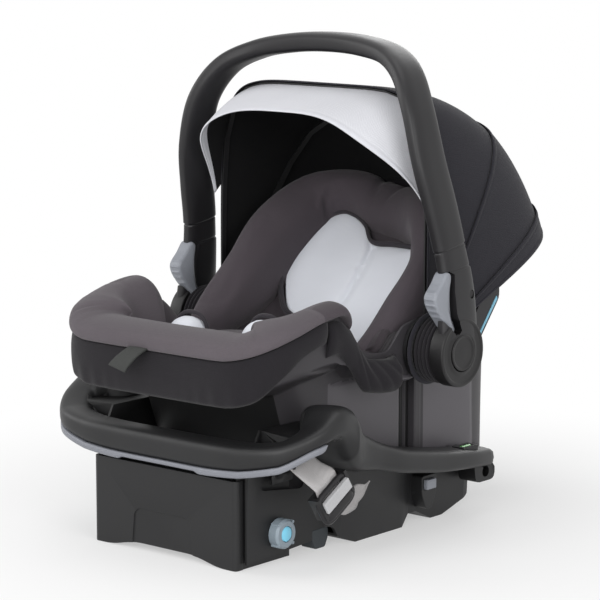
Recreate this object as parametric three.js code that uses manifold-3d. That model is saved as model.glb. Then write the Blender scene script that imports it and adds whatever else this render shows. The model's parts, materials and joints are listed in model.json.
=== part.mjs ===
// Infant car seat with its base: a padded bucket seat with a folding canopy and a carrying handle, which
// lifts off a base that is held by a vehicle belt strap and levelled by a rack-driven front foot.
// Millimetres. X runs across the seat, Y from the foot end to the head end, Z up. The origin is on the
// underside of the base, at the middle of its flat floor.
import * as THREE from 'three';
import { mergeVertices } from 'three/addons/utils/BufferGeometryUtils.js';
import Module from 'manifold-3d';

const wasm = await Module();
wasm.setup();

// ---------------------------------------------------------------------------------------------------------
// Driving dimensions
// ---------------------------------------------------------------------------------------------------------
const GAP = 0.3; // clearance between two pieces that seat on each other
const SLIDE_GAP = 0.6; // clearance between pieces that slide past each other
const WALL = 3; // moulded plastic wall

// Base
const TUB_HALF = 129.5; // half-width of the middle of the tub
const REAR_HALF = TUB_HALF - 2; // and of its rear part
const FRONT_HALF = TUB_HALF - 12.5; // and beside the foot
const TUB_REAR = 168; // rear face of the tub
const FRONT_EDGE = -249; // front edge of the tub's side walls
const BULKHEAD_Y = -150; // cross wall behind the foot
const SEAT_REST = 30; // height of the ribs that carry the seat
const RIB = 2.5; // thickness of a rib
const RIM_HALF = TUB_HALF + 51.5; // centre line of the rim at its widest
const TRAY_TOP = 126; // ledge between the tub and the rim at the front
const LEDGE_TOP = 158; // and under the humps
const STRIPE_HEIGHT = 8;
const STRIPE_INSET = 1.5;

// Levelling foot
const FOOT_HALF = FRONT_HALF - 5;
const FOOT_FACE = FRONT_EDGE - 13; // front face of the foot
const FOOT_HEIGHT = 104;
const FOOT_RETURN = FOOT_HALF - 1; // outer face of the foot's side returns
const FOOT_TRAVEL = 40;
const SHAFT_Y = -195;
const SHAFT_Z = 34;
const SHAFT_R = 6;
const GEAR_MODULE = 2;
const GEAR_TEETH = 12;
const GEAR_WIDTH = 7;
const KNOB_R = 17.5;
const KNOB_DEPTH = 13;
const BUTTON_R = 9;
const BUTTON_TRAVEL = 2.5;

// Seat
const PLUG_HALF = TUB_HALF - 9.5; // half-width of the part that drops into the tub
const KEEL_HALF = TUB_HALF - 2.5; // half-width of the body above it
const SEAT_HALF = KEEL_HALF + 31; // half-width at the rim
const KEEL_BOTTOM = 66;
const BUCKET_FLOOR = 138;
const LINER = 9; // foam liner
const PAD = 11; // seat pad
const LAYER_GAP = 0.5; // clearance between soft layers
const PIVOT = { y: 21, z: 225 }; // handle and canopy pivot axis, along X
const BOSS_R = 34; // pivot boss
const NECK_R = 21; // neck of the boss, inside the thumb releases
const PIN_R = 10;

// Canopy: a rounded arch turned about the pivot
const HOOD = { half: SEAT_HALF + 11.5, radius: 311, squareness: 6, innerR: BOSS_R + 5 };
const CLOTH = 1.2;
const HOOD_STEP = 2.4; // spacing of the nested canopy layers
const FRONT_BOW = 0; // angles from upright, positive to the rear
const MID_BOW = 34;
const HOOD_REAR = 68;
const VISOR_EDGE = -20;

// Handle
const HUB_R = 41;
const HUB_BACK = HOOD.half + 28.8; // inner face of the hub disc
const HUB_FACE = HUB_BACK + 19.7;
const CAP_R = 21.6;
const RELEASE_TRAVEL = 4;
const GRIP_REACH = HOOD.radius + 44; // from the pivot to the grip's centre

const RING_POINTS = 36; // columns of the seat's surfaces, shared by all its layers

// ---------------------------------------------------------------------------------------------------------
// Materials
// ---------------------------------------------------------------------------------------------------------
const finish = (colour, roughness, metalness = 0) =>
  new THREE.MeshStandardMaterial({ color: colour, roughness, metalness });
const blackPlastic = finish(0x2d2d30, 0.55);
const greyPlastic = finish(0x8b9098, 0.5);
const bluePlastic = finish(0x4fc3e8, 0.4);
const palePlastic = finish(0xc9ccd2, 0.45);
const slatePlastic = finish(0x5d646c, 0.6);
const vialGreen = finish(0x5fd13c, 0.2);
const steel = finish(0xb0b3b8, 0.35, 1);
const foam = finish(0x3a3a3d, 0.95);
const blackFabric = finish(0x1f1f22, 0.9);
const taupeFabric = finish(0x5a5153, 0.9);
const paleFabric = finish(0xd9dbe0, 0.9);
const webbing = finish(0xb9babd, 0.85);

// ---------------------------------------------------------------------------------------------------------
// Geometry tools
// ---------------------------------------------------------------------------------------------------------
const v3 = (x, y, z) => new THREE.Vector3(x, y, z);
const rad = THREE.MathUtils.degToRad;
const lerp = THREE.MathUtils.lerp;
const smooth = THREE.MathUtils.smoothstep;

// A solid from a closed surface, turned right side out.
function toSolid(geometry) {
  const bare = new THREE.BufferGeometry();
  bare.setAttribute('position', geometry.getAttribute('position'));
  if (geometry.index) bare.setIndex(geometry.index);
  const merged = mergeVertices(bare, 1e-3);
  const triVerts = new Uint32Array(merged.index.array);
  const vertProperties = merged.attributes.position.array;
  const made = new wasm.Manifold(new wasm.Mesh({ numProp: 3, vertProperties, triVerts }));
  if (made.volume() >= 0) return made;
  for (let i = 0; i < triVerts.length; i += 3) {
    const kept = triVerts[i + 1];
    triVerts[i + 1] = triVerts[i + 2];
    triVerts[i + 2] = kept;
  }
  return new wasm.Manifold(new wasm.Mesh({ numProp: 3, vertProperties, triVerts }));
}

const join = (...solids) => solids.reduce((whole, solid) => whole.add(solid));
const cut = (solid, ...tools) => tools.reduce((rest, tool) => rest.subtract(tool), solid);
const transformed = (solid, matrix) => {
  const { vertProperties, triVerts } = solid.getMesh();
  const geometry = new THREE.BufferGeometry();
  geometry.setAttribute('position', new THREE.BufferAttribute(vertProperties.slice(), 3));
  geometry.setIndex(new THREE.BufferAttribute(triVerts.slice(), 1));
  geometry.applyMatrix4(matrix);
  return toSolid(geometry);
};
const mirrored = (solid) => transformed(solid, new THREE.Matrix4().makeScale(-1, 1, 1));
const shifted = (solid, x, y, z) => transformed(solid, new THREE.Matrix4().makeTranslation(x, y, z));
const bothSides = (solid) => solid.add(mirrored(solid));

// A smooth curve through a table of [x, y] rows, flat beyond its ends.
function tableAt(table, x) {
  const last = table.length - 1;
  if (x <= table[0][0]) return table[0][1];
  if (x >= table[last][0]) return table[last][1];
  let i = 0;
  while (x > table[i + 1][0]) i += 1;
  const slope = (a, b) => (table[b][1] - table[a][1]) / (table[b][0] - table[a][0]);
  const before = slope(Math.max(i - 1, 0), Math.max(i, 1));
  const here = slope(i, i + 1);
  const after = slope(Math.min(i + 1, last - 1), Math.min(i + 2, last));
  const gentle = (a, b) => (a * b <= 0 ? 0 : (2 * a * b) / (a + b));
  const span = table[i + 1][0] - table[i][0];
  const t = (x - table[i][0]) / span;
  const startSlope = gentle(before, here) * span;
  const endSlope = gentle(here, after) * span;
  const rise = table[i + 1][1] - table[i][1];
  const t2 = t * t;
  const t3 = t2 * t;
  return (
    table[i][1] + (3 * t2 - 2 * t3) * rise + (t3 - 2 * t2 + t) * startSlope + (t3 - t2) * endSlope
  );
}

// The rise and fall of a padded face from one edge (0) to the other (1); a low power makes it fuller.
const swell = (t, softness = 1) => Math.max(0, Math.sin(Math.PI * t)) ** softness;
const spread = (from, to, steps) => Array.from({ length: steps + 1 }, (_, i) => lerp(from, to, i / steps));

// A flat outline through points, each corner rounded by its own radius or by the one given.
function outline(points, radius = 0) {
  const shape = new THREE.Shape();
  const count = points.length;
  points.forEach((point, i) => {
    const here = new THREE.Vector2(point[0], point[1]);
    const before = new THREE.Vector2(...points[(i + count - 1) % count].slice(0, 2));
    const after = new THREE.Vector2(...points[(i + 1) % count].slice(0, 2));
    const wanted = point[2] ?? radius;
    const reach = Math.min(wanted, here.distanceTo(before) * 0.45, here.distanceTo(after) * 0.45);
    const start = here.clone().lerp(before, reach / here.distanceTo(before));
    const end = here.clone().lerp(after, reach / here.distanceTo(after));
    if (i === 0) shape.moveTo(start.x, start.y);
    else shape.lineTo(start.x, start.y);
    if (reach > 0) shape.quadraticCurveTo(here.x, here.y, end.x, end.y);
  });
  shape.closePath();
  return shape;
}

// The outline moved outwards by a distance, corner by corner, for a pocket round a piece.
function grown(points, distance) {
  const count = points.length;
  const area = points.reduce((sum, [x, y], i) => {
    const [nx, ny] = points[(i + 1) % count];
    return sum + x * ny - nx * y;
  }, 0);
  const side = Math.sign(area);
  return points.map(([x, y], i) => {
    const [bx, by] = points[(i + count - 1) % count];
    const [ax, ay] = points[(i + 1) % count];
    const first = new THREE.Vector2(y - by, bx - x).normalize();
    const second = new THREE.Vector2(ay - y, x - ax).normalize();
    const out = first.add(second);
    out.multiplyScalar((2 * distance * side) / out.lengthSq());
    return [x + out.x, y + out.y];
  });
}

// Extrusions of a profile: across X of a (y, z) profile, across Y of (x, z), up Z of (x, y).
function extrude(shape, from, to, basis, curveSegments = 3) {
  const options = { depth: to - from, bevelEnabled: false, curveSegments };
  const geometry = new THREE.ExtrudeGeometry(shape, options);
  geometry.translate(0, 0, from);
  geometry.applyMatrix4(new THREE.Matrix4().makeBasis(...basis));
  return toSolid(geometry);
}
const acrossX = (shape, from, to, segments) =>
  extrude(shape, from, to, [v3(0, 1, 0), v3(0, 0, 1), v3(1, 0, 0)], segments);
const acrossY = (shape, from, to, segments) =>
  extrude(shape, from, to, [v3(1, 0, 0), v3(0, 0, 1), v3(0, 1, 0)], segments);
const upZ = (shape, from, to, segments) =>
  extrude(shape, from, to, [v3(1, 0, 0), v3(0, 1, 0), v3(0, 0, 1)], segments);

function block(x, y, z) {
  return upZ(outline([[x[0], y[0]], [x[1], y[0]], [x[1], y[1]], [x[0], y[1]]]), z[0], z[1]);
}

// A body turned about an axis along X, from a profile of [x, radius] points.
function turned(profile, y, z, segments = 24) {
  const points = profile.map(([x, r]) => new THREE.Vector2(r, x));
  const geometry = new THREE.LatheGeometry(points, segments);
  geometry.applyMatrix4(new THREE.Matrix4().makeBasis(v3(0, 1, 0), v3(1, 0, 0), v3(0, 0, 1)));
  geometry.translate(0, y, z);
  return toSolid(geometry);
}
const disc = (r, from, to, y, z, segments) =>
  turned([[from, 0], [from, r], [to, r], [to, 0]], y, z, segments);

function geometryOf(points, index) {
  const geometry = new THREE.BufferGeometry();
  geometry.setAttribute(
    'position', new THREE.Float32BufferAttribute(points.flatMap((p) => [p.x, p.y, p.z]), 3),
  );
  geometry.setIndex(index);
  return geometry;
}

const middleOf = (points) =>
  points.reduce((sum, p) => sum.add(p), v3(0, 0, 0)).multiplyScalar(1 / points.length);

// Two triangles for a quad; the diagonal leans one way right of the middle and the other way left of it.
function splitQuad(points, index, a, b, c, d) {
  const sum = points[a].x + points[b].x + points[c].x + points[d].x;
  const middling = Math.abs(sum) < 0.01;
  const short = points[a].distanceTo(points[c]) < points[b].distanceTo(points[d]);
  if (middling ? short : sum > 0) index.push(a, b, c, a, c, d);
  else index.push(a, b, d, b, c, d);
}

// A closed body through a run of closed rings that have as many points each.
function loft(rings) {
  const count = rings[0].length;
  const points = rings.flat();
  const index = [];
  for (let j = 0; j < rings.length - 1; j += 1) {
    for (let i = 0; i < count; i += 1) {
      const a = j * count + i;
      const b = j * count + ((i + 1) % count);
      splitQuad(points, index, a, b, b + count, a + count);
    }
  }
  const first = points.length;
  points.push(middleOf(rings[0]), middleOf(rings[rings.length - 1]));
  const lastRing = (rings.length - 1) * count;
  for (let i = 0; i < count; i += 1) {
    const next = (i + 1) % count;
    index.push(first, next, i, first + 1, lastRing + i, lastRing + next);
  }
  return toSolid(geometryOf(points, index));
}

// The unit normal of surface(u, v): along u crossed with along v.
function normalOf(surface, u, v, du, dv) {
  const alongU = surface(u + du, v).sub(surface(u - du, v));
  const alongV = surface(u, v + dv).sub(surface(u, v - dv));
  return alongU.cross(alongV).normalize();
}

// Rows of points at an offset from surface(u, v) along its normal.
function offsetRows(surface, us, vs, offset) {
  const du = Math.abs(us[1] - us[0]) * 0.2;
  const dv = Math.abs(vs[1] - vs[0]) * 0.2;
  const valueOf = (u, v) => (typeof offset === 'function' ? offset(u, v) : offset);
  const move = (u, v) => surface(u, v).addScaledVector(normalOf(surface, u, v, du, dv), valueOf(u, v));
  return vs.map((v) => us.map((u) => move(u, v)));
}

// A wall that follows surface(u, v) between two offsets along its normal. ring joins the last column to the
// first, and floor closes the first row over the middle.
function wallOf(surface, us, vs, low, high, { ring = false, floor = false } = {}) {
  const layers = [offsetRows(surface, us, vs, low), offsetRows(surface, us, vs, high)];
  const columns = us.length;
  const rows = vs.length;
  const points = layers.flat(2);
  const at = (side, j, i) => (side * rows + j) * columns + (i % columns);
  const index = [];
  const quad = (a, b, c, d) => splitQuad(points, index, a, b, c, d);
  const spans = ring ? columns : columns - 1;
  for (let j = 0; j < rows - 1; j += 1) {
    for (let i = 0; i < spans; i += 1) {
      quad(at(1, j, i), at(1, j, i + 1), at(1, j + 1, i + 1), at(1, j + 1, i));
      quad(at(0, j, i), at(0, j + 1, i), at(0, j + 1, i + 1), at(0, j, i + 1));
    }
  }
  for (let i = 0; i < spans; i += 1) {
    quad(at(1, rows - 1, i), at(1, rows - 1, i + 1), at(0, rows - 1, i + 1), at(0, rows - 1, i));
    if (!floor) quad(at(0, 0, i), at(0, 0, i + 1), at(1, 0, i + 1), at(1, 0, i));
  }
  if (floor) {
    layers.forEach((rings, side) => {
      const hub = points.length;
      points.push(middleOf(rings[0]));
      for (let i = 0; i < spans; i += 1) {
        if (side) index.push(hub, at(side, 0, i + 1), at(side, 0, i));
        else index.push(hub, at(side, 0, i), at(side, 0, i + 1));
      }
    });
  }
  if (!ring) {
    for (let j = 0; j < rows - 1; j += 1) {
      quad(at(0, j, 0), at(1, j, 0), at(1, j + 1, 0), at(0, j + 1, 0));
      quad(at(1, j, spans), at(0, j, spans), at(0, j + 1, spans), at(1, j + 1, spans));
    }
  }
  return toSolid(geometryOf(points, index));
}

// The point of a rounded rectangle at an angle, on the unit square; squareness 2 is a circle.
const power = (c, squareness) => Math.sign(c) * Math.abs(c) ** (2 / squareness);

// The same point by its plain bearing, which spreads the columns more evenly along the sides.
function rounded(turn, squareness) {
  const c = Math.cos(turn);
  const s = Math.sin(turn);
  const reach = (Math.abs(c) ** squareness + Math.abs(s) ** squareness) ** (-1 / squareness);
  return { x: c * reach, y: s * reach };
}

// A flat band through stations of { at, across }, with its thickness square to both.
function band(stations, width, thickness) {
  const rings = stations.map(({ at, across }, i) => {
    const before = stations[Math.max(i - 1, 0)].at;
    const after = stations[Math.min(i + 1, stations.length - 1)].at;
    const ahead = after.clone().sub(before).normalize();
    const wide = across.clone().addScaledVector(ahead, -across.dot(ahead)).normalize();
    const thick = ahead.clone().cross(wide);
    const corner = (w, t) =>
      at.clone().addScaledVector(wide, w * width * 0.5).addScaledVector(thick, t * thickness * 0.5);
    return [corner(-1, -1), corner(1, -1), corner(1, 1), corner(-1, 1)];
  });
  return loft(rings);
}

const model = new THREE.Group();
function piece(name, solid, material) {
  const { vertProperties, triVerts } = solid.getMesh();
  const geometry = new THREE.BufferGeometry();
  geometry.setAttribute('position', new THREE.BufferAttribute(vertProperties, 3));
  geometry.setIndex(new THREE.BufferAttribute(triVerts, 1));
  geometry.computeVertexNormals();
  const mesh = new THREE.Mesh(geometry, material);
  mesh.name = name;
  model.add(mesh);
}
function pair(name, solid, material) {
  piece(`${name}_right`, solid, material);
  piece(`${name}_left`, mirrored(solid), material);
}

// ---------------------------------------------------------------------------------------------------------
// Base
// ---------------------------------------------------------------------------------------------------------

// The rim, from the middle of the front to the rail's rear end: centre line, half-depth, underside and top.
const RIM = [
  { x: 0, y: -254, half: 20, low: 114, high: 147 },
  { x: 0.343 * RIM_HALF, y: -254, half: 20, low: 114, high: 147 },
  { x: 0.652 * RIM_HALF, y: -252, half: 20, low: 117, high: 148 },
  { x: 0.888 * RIM_HALF, y: -241, half: 20, low: 127, high: 153 },
  { x: 1 * RIM_HALF, y: -216, half: 20, low: 146, high: 168 },
  { x: 0.994 * RIM_HALF, y: -188, half: 26, low: 152, high: 187 },
  { x: 0.93 * RIM_HALF, y: -163, half: 35, low: 120, high: 182 },
  { x: 0.884 * RIM_HALF, y: -132, half: 31, low: 102, high: 156 },
  { x: 0.87 * RIM_HALF, y: -92, half: 29, low: 96, high: 134 },
  { x: 0.87 * RIM_HALF, y: -36, half: 29, low: 83, high: 114 },
  { x: 0.856 * RIM_HALF, y: 45, half: 27, low: 69, high: 97 },
  { x: 0.84 * RIM_HALF, y: 110, half: 24.5, low: 62, high: 87 },
  { x: 0.812 * RIM_HALF, y: 158, half: 20, low: 56, high: 80 },
];

function rimCurves() {
  const whole = [...RIM.slice(1).reverse().map((s) => ({ ...s, x: -s.x })), ...RIM];
  const centre = new THREE.CatmullRomCurve3(whole.map((s) => v3(s.x, s.y, 0)), false, 'centripetal');
  const size = new THREE.CatmullRomCurve3(whole.map((s) => v3(s.half, s.low, s.high)), false, 'centripetal');
  return { centre, size, spans: whole.length - 1 };
}

// The rim's place at t: the centre, the outward direction in plan and the section's size there.
function rimAt(t, curves) {
  const at = curves.centre.getPoint(t);
  const ahead = curves.centre.getTangent(t);
  const outward = v3(ahead.y, -ahead.x, 0).normalize();
  const size = curves.size.getPoint(t);
  return { at, outward, half: size.x, low: size.y, high: size.z };
}

function rimSolid(curves) {
  const sides = 12;
  const squareness = 3.4;
  const steps = curves.spans * 1.5;
  const rings = spread(0, 1, steps).map((t) => {
    const { at, outward, half, low, high } = rimAt(t, curves);
    return Array.from({ length: sides }, (_, i) => {
      const turn = (i / sides) * 2 * Math.PI;
      const out = power(Math.cos(turn), squareness) * half;
      const up = lerp(low, high, 0.5 + 0.5 * power(Math.sin(turn), squareness));
      return v3(at.x + outward.x * out, at.y + outward.y * out, up);
    });
  });
  return loft(rings);
}

// The grey strip under the rim, round the front and up under the humps; extra widens it for its groove.
function stripeSolid(curves, extra) {
  const reach = 5 / curves.spans;
  const rings = spread(0.5 - reach, 0.5 + reach, 20).map((t) => {
    const { at, outward, half, low } = rimAt(t, curves);
    const outer = half - STRIPE_INSET + extra;
    const inner = half - STRIPE_INSET - 9 - extra;
    const top = low + 1.5 + extra;
    const bottom = low + 1.5 - STRIPE_HEIGHT - extra;
    const corner = (out, z) => v3(at.x + outward.x * out, at.y + outward.y * out, z);
    return [
      corner(inner, bottom), corner(outer - 1.5, bottom), corner(outer, bottom + 2), corner(outer, top),
      corner(inner, top),
    ];
  });
  return loft(rings);
}

const TUB_UNDERSIDE = [
  [FRONT_EDGE, 6], [-134, 12], [-134, 24, 3], [-104, 24, 3], [-100, 12], [-86, 6], [-70, 0],
  [20, 0], [34, 14], [50, 14], [79, 0], [102, 0], [156, 15, 8], [TUB_REAR, 44, 8],
];
const TUB_TOP = [
  [TUB_REAR, 60], [150, 63], [110, 72], [49, 84], [-36, 99], [-93, 116], [-130, 124],
  [-150, LEDGE_TOP], [-226, LEDGE_TOP], [-240, 122], [FRONT_EDGE, 122],
];

function tubPlan(inset) {
  const half = [
    [FRONT_HALF - inset, FRONT_EDGE], [FRONT_HALF - inset, -112 + inset * 0.4],
    [TUB_HALF - inset, -98 + inset * 0.4], [TUB_HALF - inset, 20], [REAR_HALF - inset, 34],
    [REAR_HALF - inset, TUB_REAR - inset, 22],
  ];
  return outline([...half, ...half.slice().reverse().map(([x, y, r]) => [-x, y, r])]);
}

function baseShell(curves, stripe) {
  const side = acrossX(outline([...TUB_UNDERSIDE, ...TUB_TOP]), -TUB_HALF - 5, TUB_HALF + 5);
  const tub = upZ(tubPlan(0), -5, 200, 4).intersect(side);
  const floorLine = TUB_UNDERSIDE.filter(([y]) => y > -101).map(
    ([y, z]) => [Math.min(y, TUB_REAR - WALL), z + WALL],
  );
  const roomSide = acrossX(
    outline([[BULKHEAD_Y + WALL, 24], ...floorLine, [TUB_REAR - WALL, 220], [BULKHEAD_Y + WALL, 220]]),
    -TUB_HALF, TUB_HALF,
  );
  const room = upZ(tubPlan(WALL), -5, 220, 4).intersect(roomSide);
  const footRoom = block([-FRONT_HALF + WALL, FRONT_HALF - WALL], [FRONT_EDGE - 20, BULKHEAD_Y], [-5, 220]);

  const frontTray = upZ(
    outline(
      [[RIM_HALF - 20, -250, 34], [RIM_HALF - 20, -222], [20 - RIM_HALF, -222], [20 - RIM_HALF, -250, 34]],
    ),
    TRAY_TOP - 6, TRAY_TOP, 4,
  );
  const ledge = block([FRONT_HALF - 1, RIM_HALF - 13], [-222, -152], [LEDGE_TOP - 4, LEDGE_TOP]);
  const step = block([FRONT_HALF - 1, RIM_HALF - 15], [-224, -221], [TRAY_TOP - 6, LEDGE_TOP]);
  const tray = join(frontTray, bothSides(join(ledge, step)));
  const trayHole = upZ(
    outline(
      [
        [FRONT_HALF - WALL, -244, 30], [FRONT_HALF - WALL, -100], [-FRONT_HALF + WALL, -100],
        [-FRONT_HALF + WALL, -244, 30],
      ],
    ),
    100, 230, 4,
  );
  const apron = block([-96, 96], [-247, -244], [58, 130]);
  const overBulkhead = block(
    [-FRONT_HALF + WALL, FRONT_HALF - WALL], [BULKHEAD_Y - 1, BULKHEAD_Y + WALL + 1], [56, 220],
  );

  const ribs = [];
  for (let y = -110; y <= 130; y += 40) {
    ribs.push(block([-TUB_HALF + 1, TUB_HALF - 1], [y - RIB / 2, y + RIB / 2], [1, SEAT_REST]));
  }
  for (const x of [-60, 60]) {
    ribs.push(block([x - RIB / 2, x + RIB / 2], [BULKHEAD_Y + 1, TUB_REAR - 1], [1, SEAT_REST]));
  }
  const floorRibs = ribs.map((rib) => rib.intersect(side).intersect(upZ(tubPlan(1), -5, 100, 4)));

  const beltHole = acrossX(outline([[-226, 88], [-150, 78], [-146, 110], [-222, 112]], 8), 100, 150);
  const shaftHole = disc(SHAFT_R + GAP, -200, 200, SHAFT_Y, SHAFT_Z, 20);
  const hook = cut(
    acrossX(
      outline([[126, 40], [164, 40], [166, 58], [150, 70], [122, 66]], 8), REAR_HALF + 8.5,
      REAR_HALF + 34.5,
    ),
    disc(7, REAR_HALF, REAR_HALF + 45, 146, 52, 16),
  );
  const open = join(tray.subtract(trayHole), apron, cut(tub, room, footRoom, overBulkhead), ...floorRibs);
  const moulded = join(rimSolid(curves), open, bothSides(hook));
  return cut(moulded, stripe, bothSides(beltHole), shaftHole, bothSides(vialPocket(GAP)));
}

// Level vial on the rear of each rail: a bezel let into the rail's top, with the vial in it.
const VIAL = { x: REAR_HALF + 30.5, y: 108, z: 87.5, length: 17 };
const vialPocket = (extra) =>
  block(
    [VIAL.x - 9 - extra, VIAL.x + 9 + extra], [VIAL.y - 15 - extra, VIAL.y + 15 + extra],
    [VIAL.z - 7 - extra, 120],
  );

function levelVials() {
  const frame = block([VIAL.x - 9, VIAL.x + 9], [VIAL.y - 15, VIAL.y + 15], [VIAL.z - 7, VIAL.z + 1]);
  const slot = block([VIAL.x - 5, VIAL.x + 5], [VIAL.y - 9, VIAL.y + 9], [VIAL.z - 4.5, VIAL.z + 5]);
  pair('vial_bezel', frame.subtract(slot), blackPlastic);
  const half = VIAL.length / 2;
  const profile = outline([[-4.4, 0], [4.4, 0], [4.4, 4, 3], [0, 6, 4], [-4.4, 4, 3]]);
  const vial = shifted(acrossY(profile, VIAL.y - half, VIAL.y + half), VIAL.x, 0, VIAL.z - 4.5 + GAP);
  pair('level_vial', vial, vialGreen);
}

// Steel bars across the tub that the seat straddles.
const CATCH_BARS = [{ name: 'catch_bar_front', y: -128, z: 62 }, { name: 'catch_bar_rear', y: 96, z: 52 }];
const BAR_R = 4;

function baseDetails() {
  CATCH_BARS.forEach(({ name, y, z }) => {
    const across = (y < -112 ? FRONT_HALF : REAR_HALF) - WALL - GAP;
    piece(name, disc(BAR_R, -across, across, y, z, 12), steel);
  });
  const padProfile = outline(
    [[-133.6, 23.6, 4], [-133.6, 12, 3], [-128, 0, 3], [-110, 0, 3], [-104.4, 12, 3], [-104.4, 23.6, 4]],
  );
  pair('foot_pad', acrossX(padProfile, 96, FRONT_HALF - 0.5), slatePlastic);
}

// ---------------------------------------------------------------------------------------------------------
// Levelling foot: racks on the foot's side returns run on pinions on one cross shaft, turned by a knob at
// either end.
// ---------------------------------------------------------------------------------------------------------
const PITCH_R = (GEAR_MODULE * GEAR_TEETH) / 2;
const PRESSURE = rad(20);
const ADDENDUM = 0.85 * GEAR_MODULE;
const DEDENDUM = 1.1 * GEAR_MODULE;
const BACKLASH = 0.5;
const GEAR_FROM = 99.5;

// Involute pinion outline round the origin, with a tooth on the first axis.
function pinionOutline() {
  const baseR = PITCH_R * Math.cos(PRESSURE);
  const involute = (angle) => Math.tan(angle) - angle;
  const halfTooth = Math.PI / (2 * GEAR_TEETH) - BACKLASH / (2 * PITCH_R);
  const halfAt = (r) => halfTooth + involute(PRESSURE) - involute(Math.acos(Math.min(1, baseR / r)));
  const tipR = PITCH_R + ADDENDUM;
  const rootR = PITCH_R - DEDENDUM;
  const flank = spread(Math.max(baseR, rootR) + 0.01, tipR, 2);
  const points = [];
  for (let k = 0; k < GEAR_TEETH; k += 1) {
    const middle = (k / GEAR_TEETH) * 2 * Math.PI;
    const put = (r, angle) => points.push([r * Math.cos(middle + angle), r * Math.sin(middle + angle)]);
    const rootHalf = halfAt(flank[0]);
    put(rootR, -rootHalf);
    flank.forEach((r) => put(r, -halfAt(r)));
    flank.slice().reverse().forEach((r) => put(r, halfAt(r)));
    put(rootR, rootHalf);
  }
  return points;
}

// Rack beside the shaft, its teeth facing it, as a (y, z) outline: a gap lies level with the shaft.
function rackOutline() {
  const pitch = Math.PI * GEAR_MODULE;
  const below = Math.ceil(14 / pitch);
  const above = Math.ceil((FOOT_TRAVEL + 12) / pitch);
  const line = SHAFT_Y + PITCH_R;
  const lean = Math.tan(PRESSURE);
  const tip = pitch / 4 - BACKLASH / 4 - ADDENDUM * lean;
  const root = pitch / 4 - BACKLASH / 4 + DEDENDUM * lean;
  const points = [];
  for (let k = -below; k < above; k += 1) {
    const middle = SHAFT_Z + (k + 0.5) * pitch;
    points.push([line + DEDENDUM, middle - root], [line - ADDENDUM, middle - tip]);
    points.push([line - ADDENDUM, middle + tip], [line + DEDENDUM, middle + root]);
  }
  const back = line + DEDENDUM + 4;
  points.push([back, points[points.length - 1][1]], [back, points[0][1]]);
  return points;
}

function frontFoot() {
  const half = [
    [FOOT_HALF, FOOT_FACE, 10], [FOOT_HALF, FRONT_EDGE - SLIDE_GAP], [FOOT_RETURN, FRONT_EDGE - SLIDE_GAP],
    [FOOT_RETURN, -168], [FOOT_RETURN - WALL, -168], [FOOT_RETURN - WALL, FOOT_FACE + 3.5],
  ];
  const plan = outline([...half, ...half.slice().reverse().map(([x, y, r]) => [-x, y, r])]);
  const body = upZ(plan, -1, FOOT_HEIGHT, 4);
  const arch = outline(
    [
      [-FOOT_HALF - 1, 0], [-84, 0, 20], [-50, 8, 30], [50, 8, 30], [84, 0, 20], [FOOT_HALF + 1, 0],
      [FOOT_HALF + 1, FOOT_HEIGHT], [-FOOT_HALF - 1, FOOT_HEIGHT],
    ],
  );
  const relief = outline([[-52, -5], [-47, 44, 10], [-40, 50, 6], [36, 50, 6], [42, 44, 10], [46, -5]]);
  const slot = acrossX(
    outline(
      [
        [SHAFT_Y - 7, SHAFT_Z - 7], [SHAFT_Y + 7, SHAFT_Z - 7], [SHAFT_Y + 7, SHAFT_Z + FOOT_TRAVEL + 7],
        [SHAFT_Y - 7, SHAFT_Z + FOOT_TRAVEL + 7],
      ],
      6,
    ),
    100, 115,
  );
  const ribs = [-72, -24, 24, 72].map(
    (x) => block([x - RIB / 2, x + RIB / 2], [FOOT_FACE + 2, -250], [12, 54]),
  );
  const walls = body.intersect(acrossY(arch, FOOT_FACE - 1, -160, 5));
  return cut(join(walls, ...ribs), acrossY(relief, FOOT_FACE - 1, FOOT_FACE + 1.5, 4), bothSides(slot));
}

function levellingFoot() {
  piece('front_foot', frontFoot(), blackPlastic);
  const rackX = FOOT_RETURN - WALL - GAP;
  pair('recline_rack', acrossX(outline(rackOutline()), GEAR_FROM - 0.5, rackX), greyPlastic);

  const knobX = FRONT_HALF + SLIDE_GAP;
  piece('adjuster_shaft', disc(SHAFT_R, -knobX - 4, knobX + 4, SHAFT_Y, SHAFT_Z, 20), steel);
  const gear = acrossX(
    outline(pinionOutline().map(([y, z]) => [y + SHAFT_Y, z + SHAFT_Z])), GEAR_FROM, GEAR_FROM + GEAR_WIDTH,
  );
  pair('pinion', cut(gear, disc(SHAFT_R + GAP, 90, 110, SHAFT_Y, SHAFT_Z, 20)), palePlastic);

  const face = knobX + KNOB_DEPTH;
  const ring = turned(
    [
      [knobX, 0], [knobX, KNOB_R], [face - 2.5, KNOB_R], [face, KNOB_R - 2.5], [face, BUTTON_R + 0.5],
      [knobX + 5, BUTTON_R + 0.5], [knobX + 5, 0],
    ],
    SHAFT_Y, SHAFT_Z, 20,
  );
  const nubs = [45, 135, 225, 315].map((angle) => {
    const y = SHAFT_Y + KNOB_R * Math.cos(rad(angle));
    const z = SHAFT_Z + KNOB_R * Math.sin(rad(angle));
    return disc(2, knobX + 1, face - 1, y, z, 6);
  });
  pair(
    'knob', cut(join(ring, ...nubs), disc(SHAFT_R + GAP, 110, knobX + 6, SHAFT_Y, SHAFT_Z, 20)),
    greyPlastic,
  );
  const button = [
    [knobX + 5.3 + BUTTON_TRAVEL, 0], [knobX + 5.3 + BUTTON_TRAVEL, BUTTON_R], [face - 0.5, BUTTON_R],
    [face + 0.6, BUTTON_R - 2], [face + 1, 0],
  ];
  pair('knob_button', turned(button, SHAFT_Y, SHAFT_Z, 20), bluePlastic);
}

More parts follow.
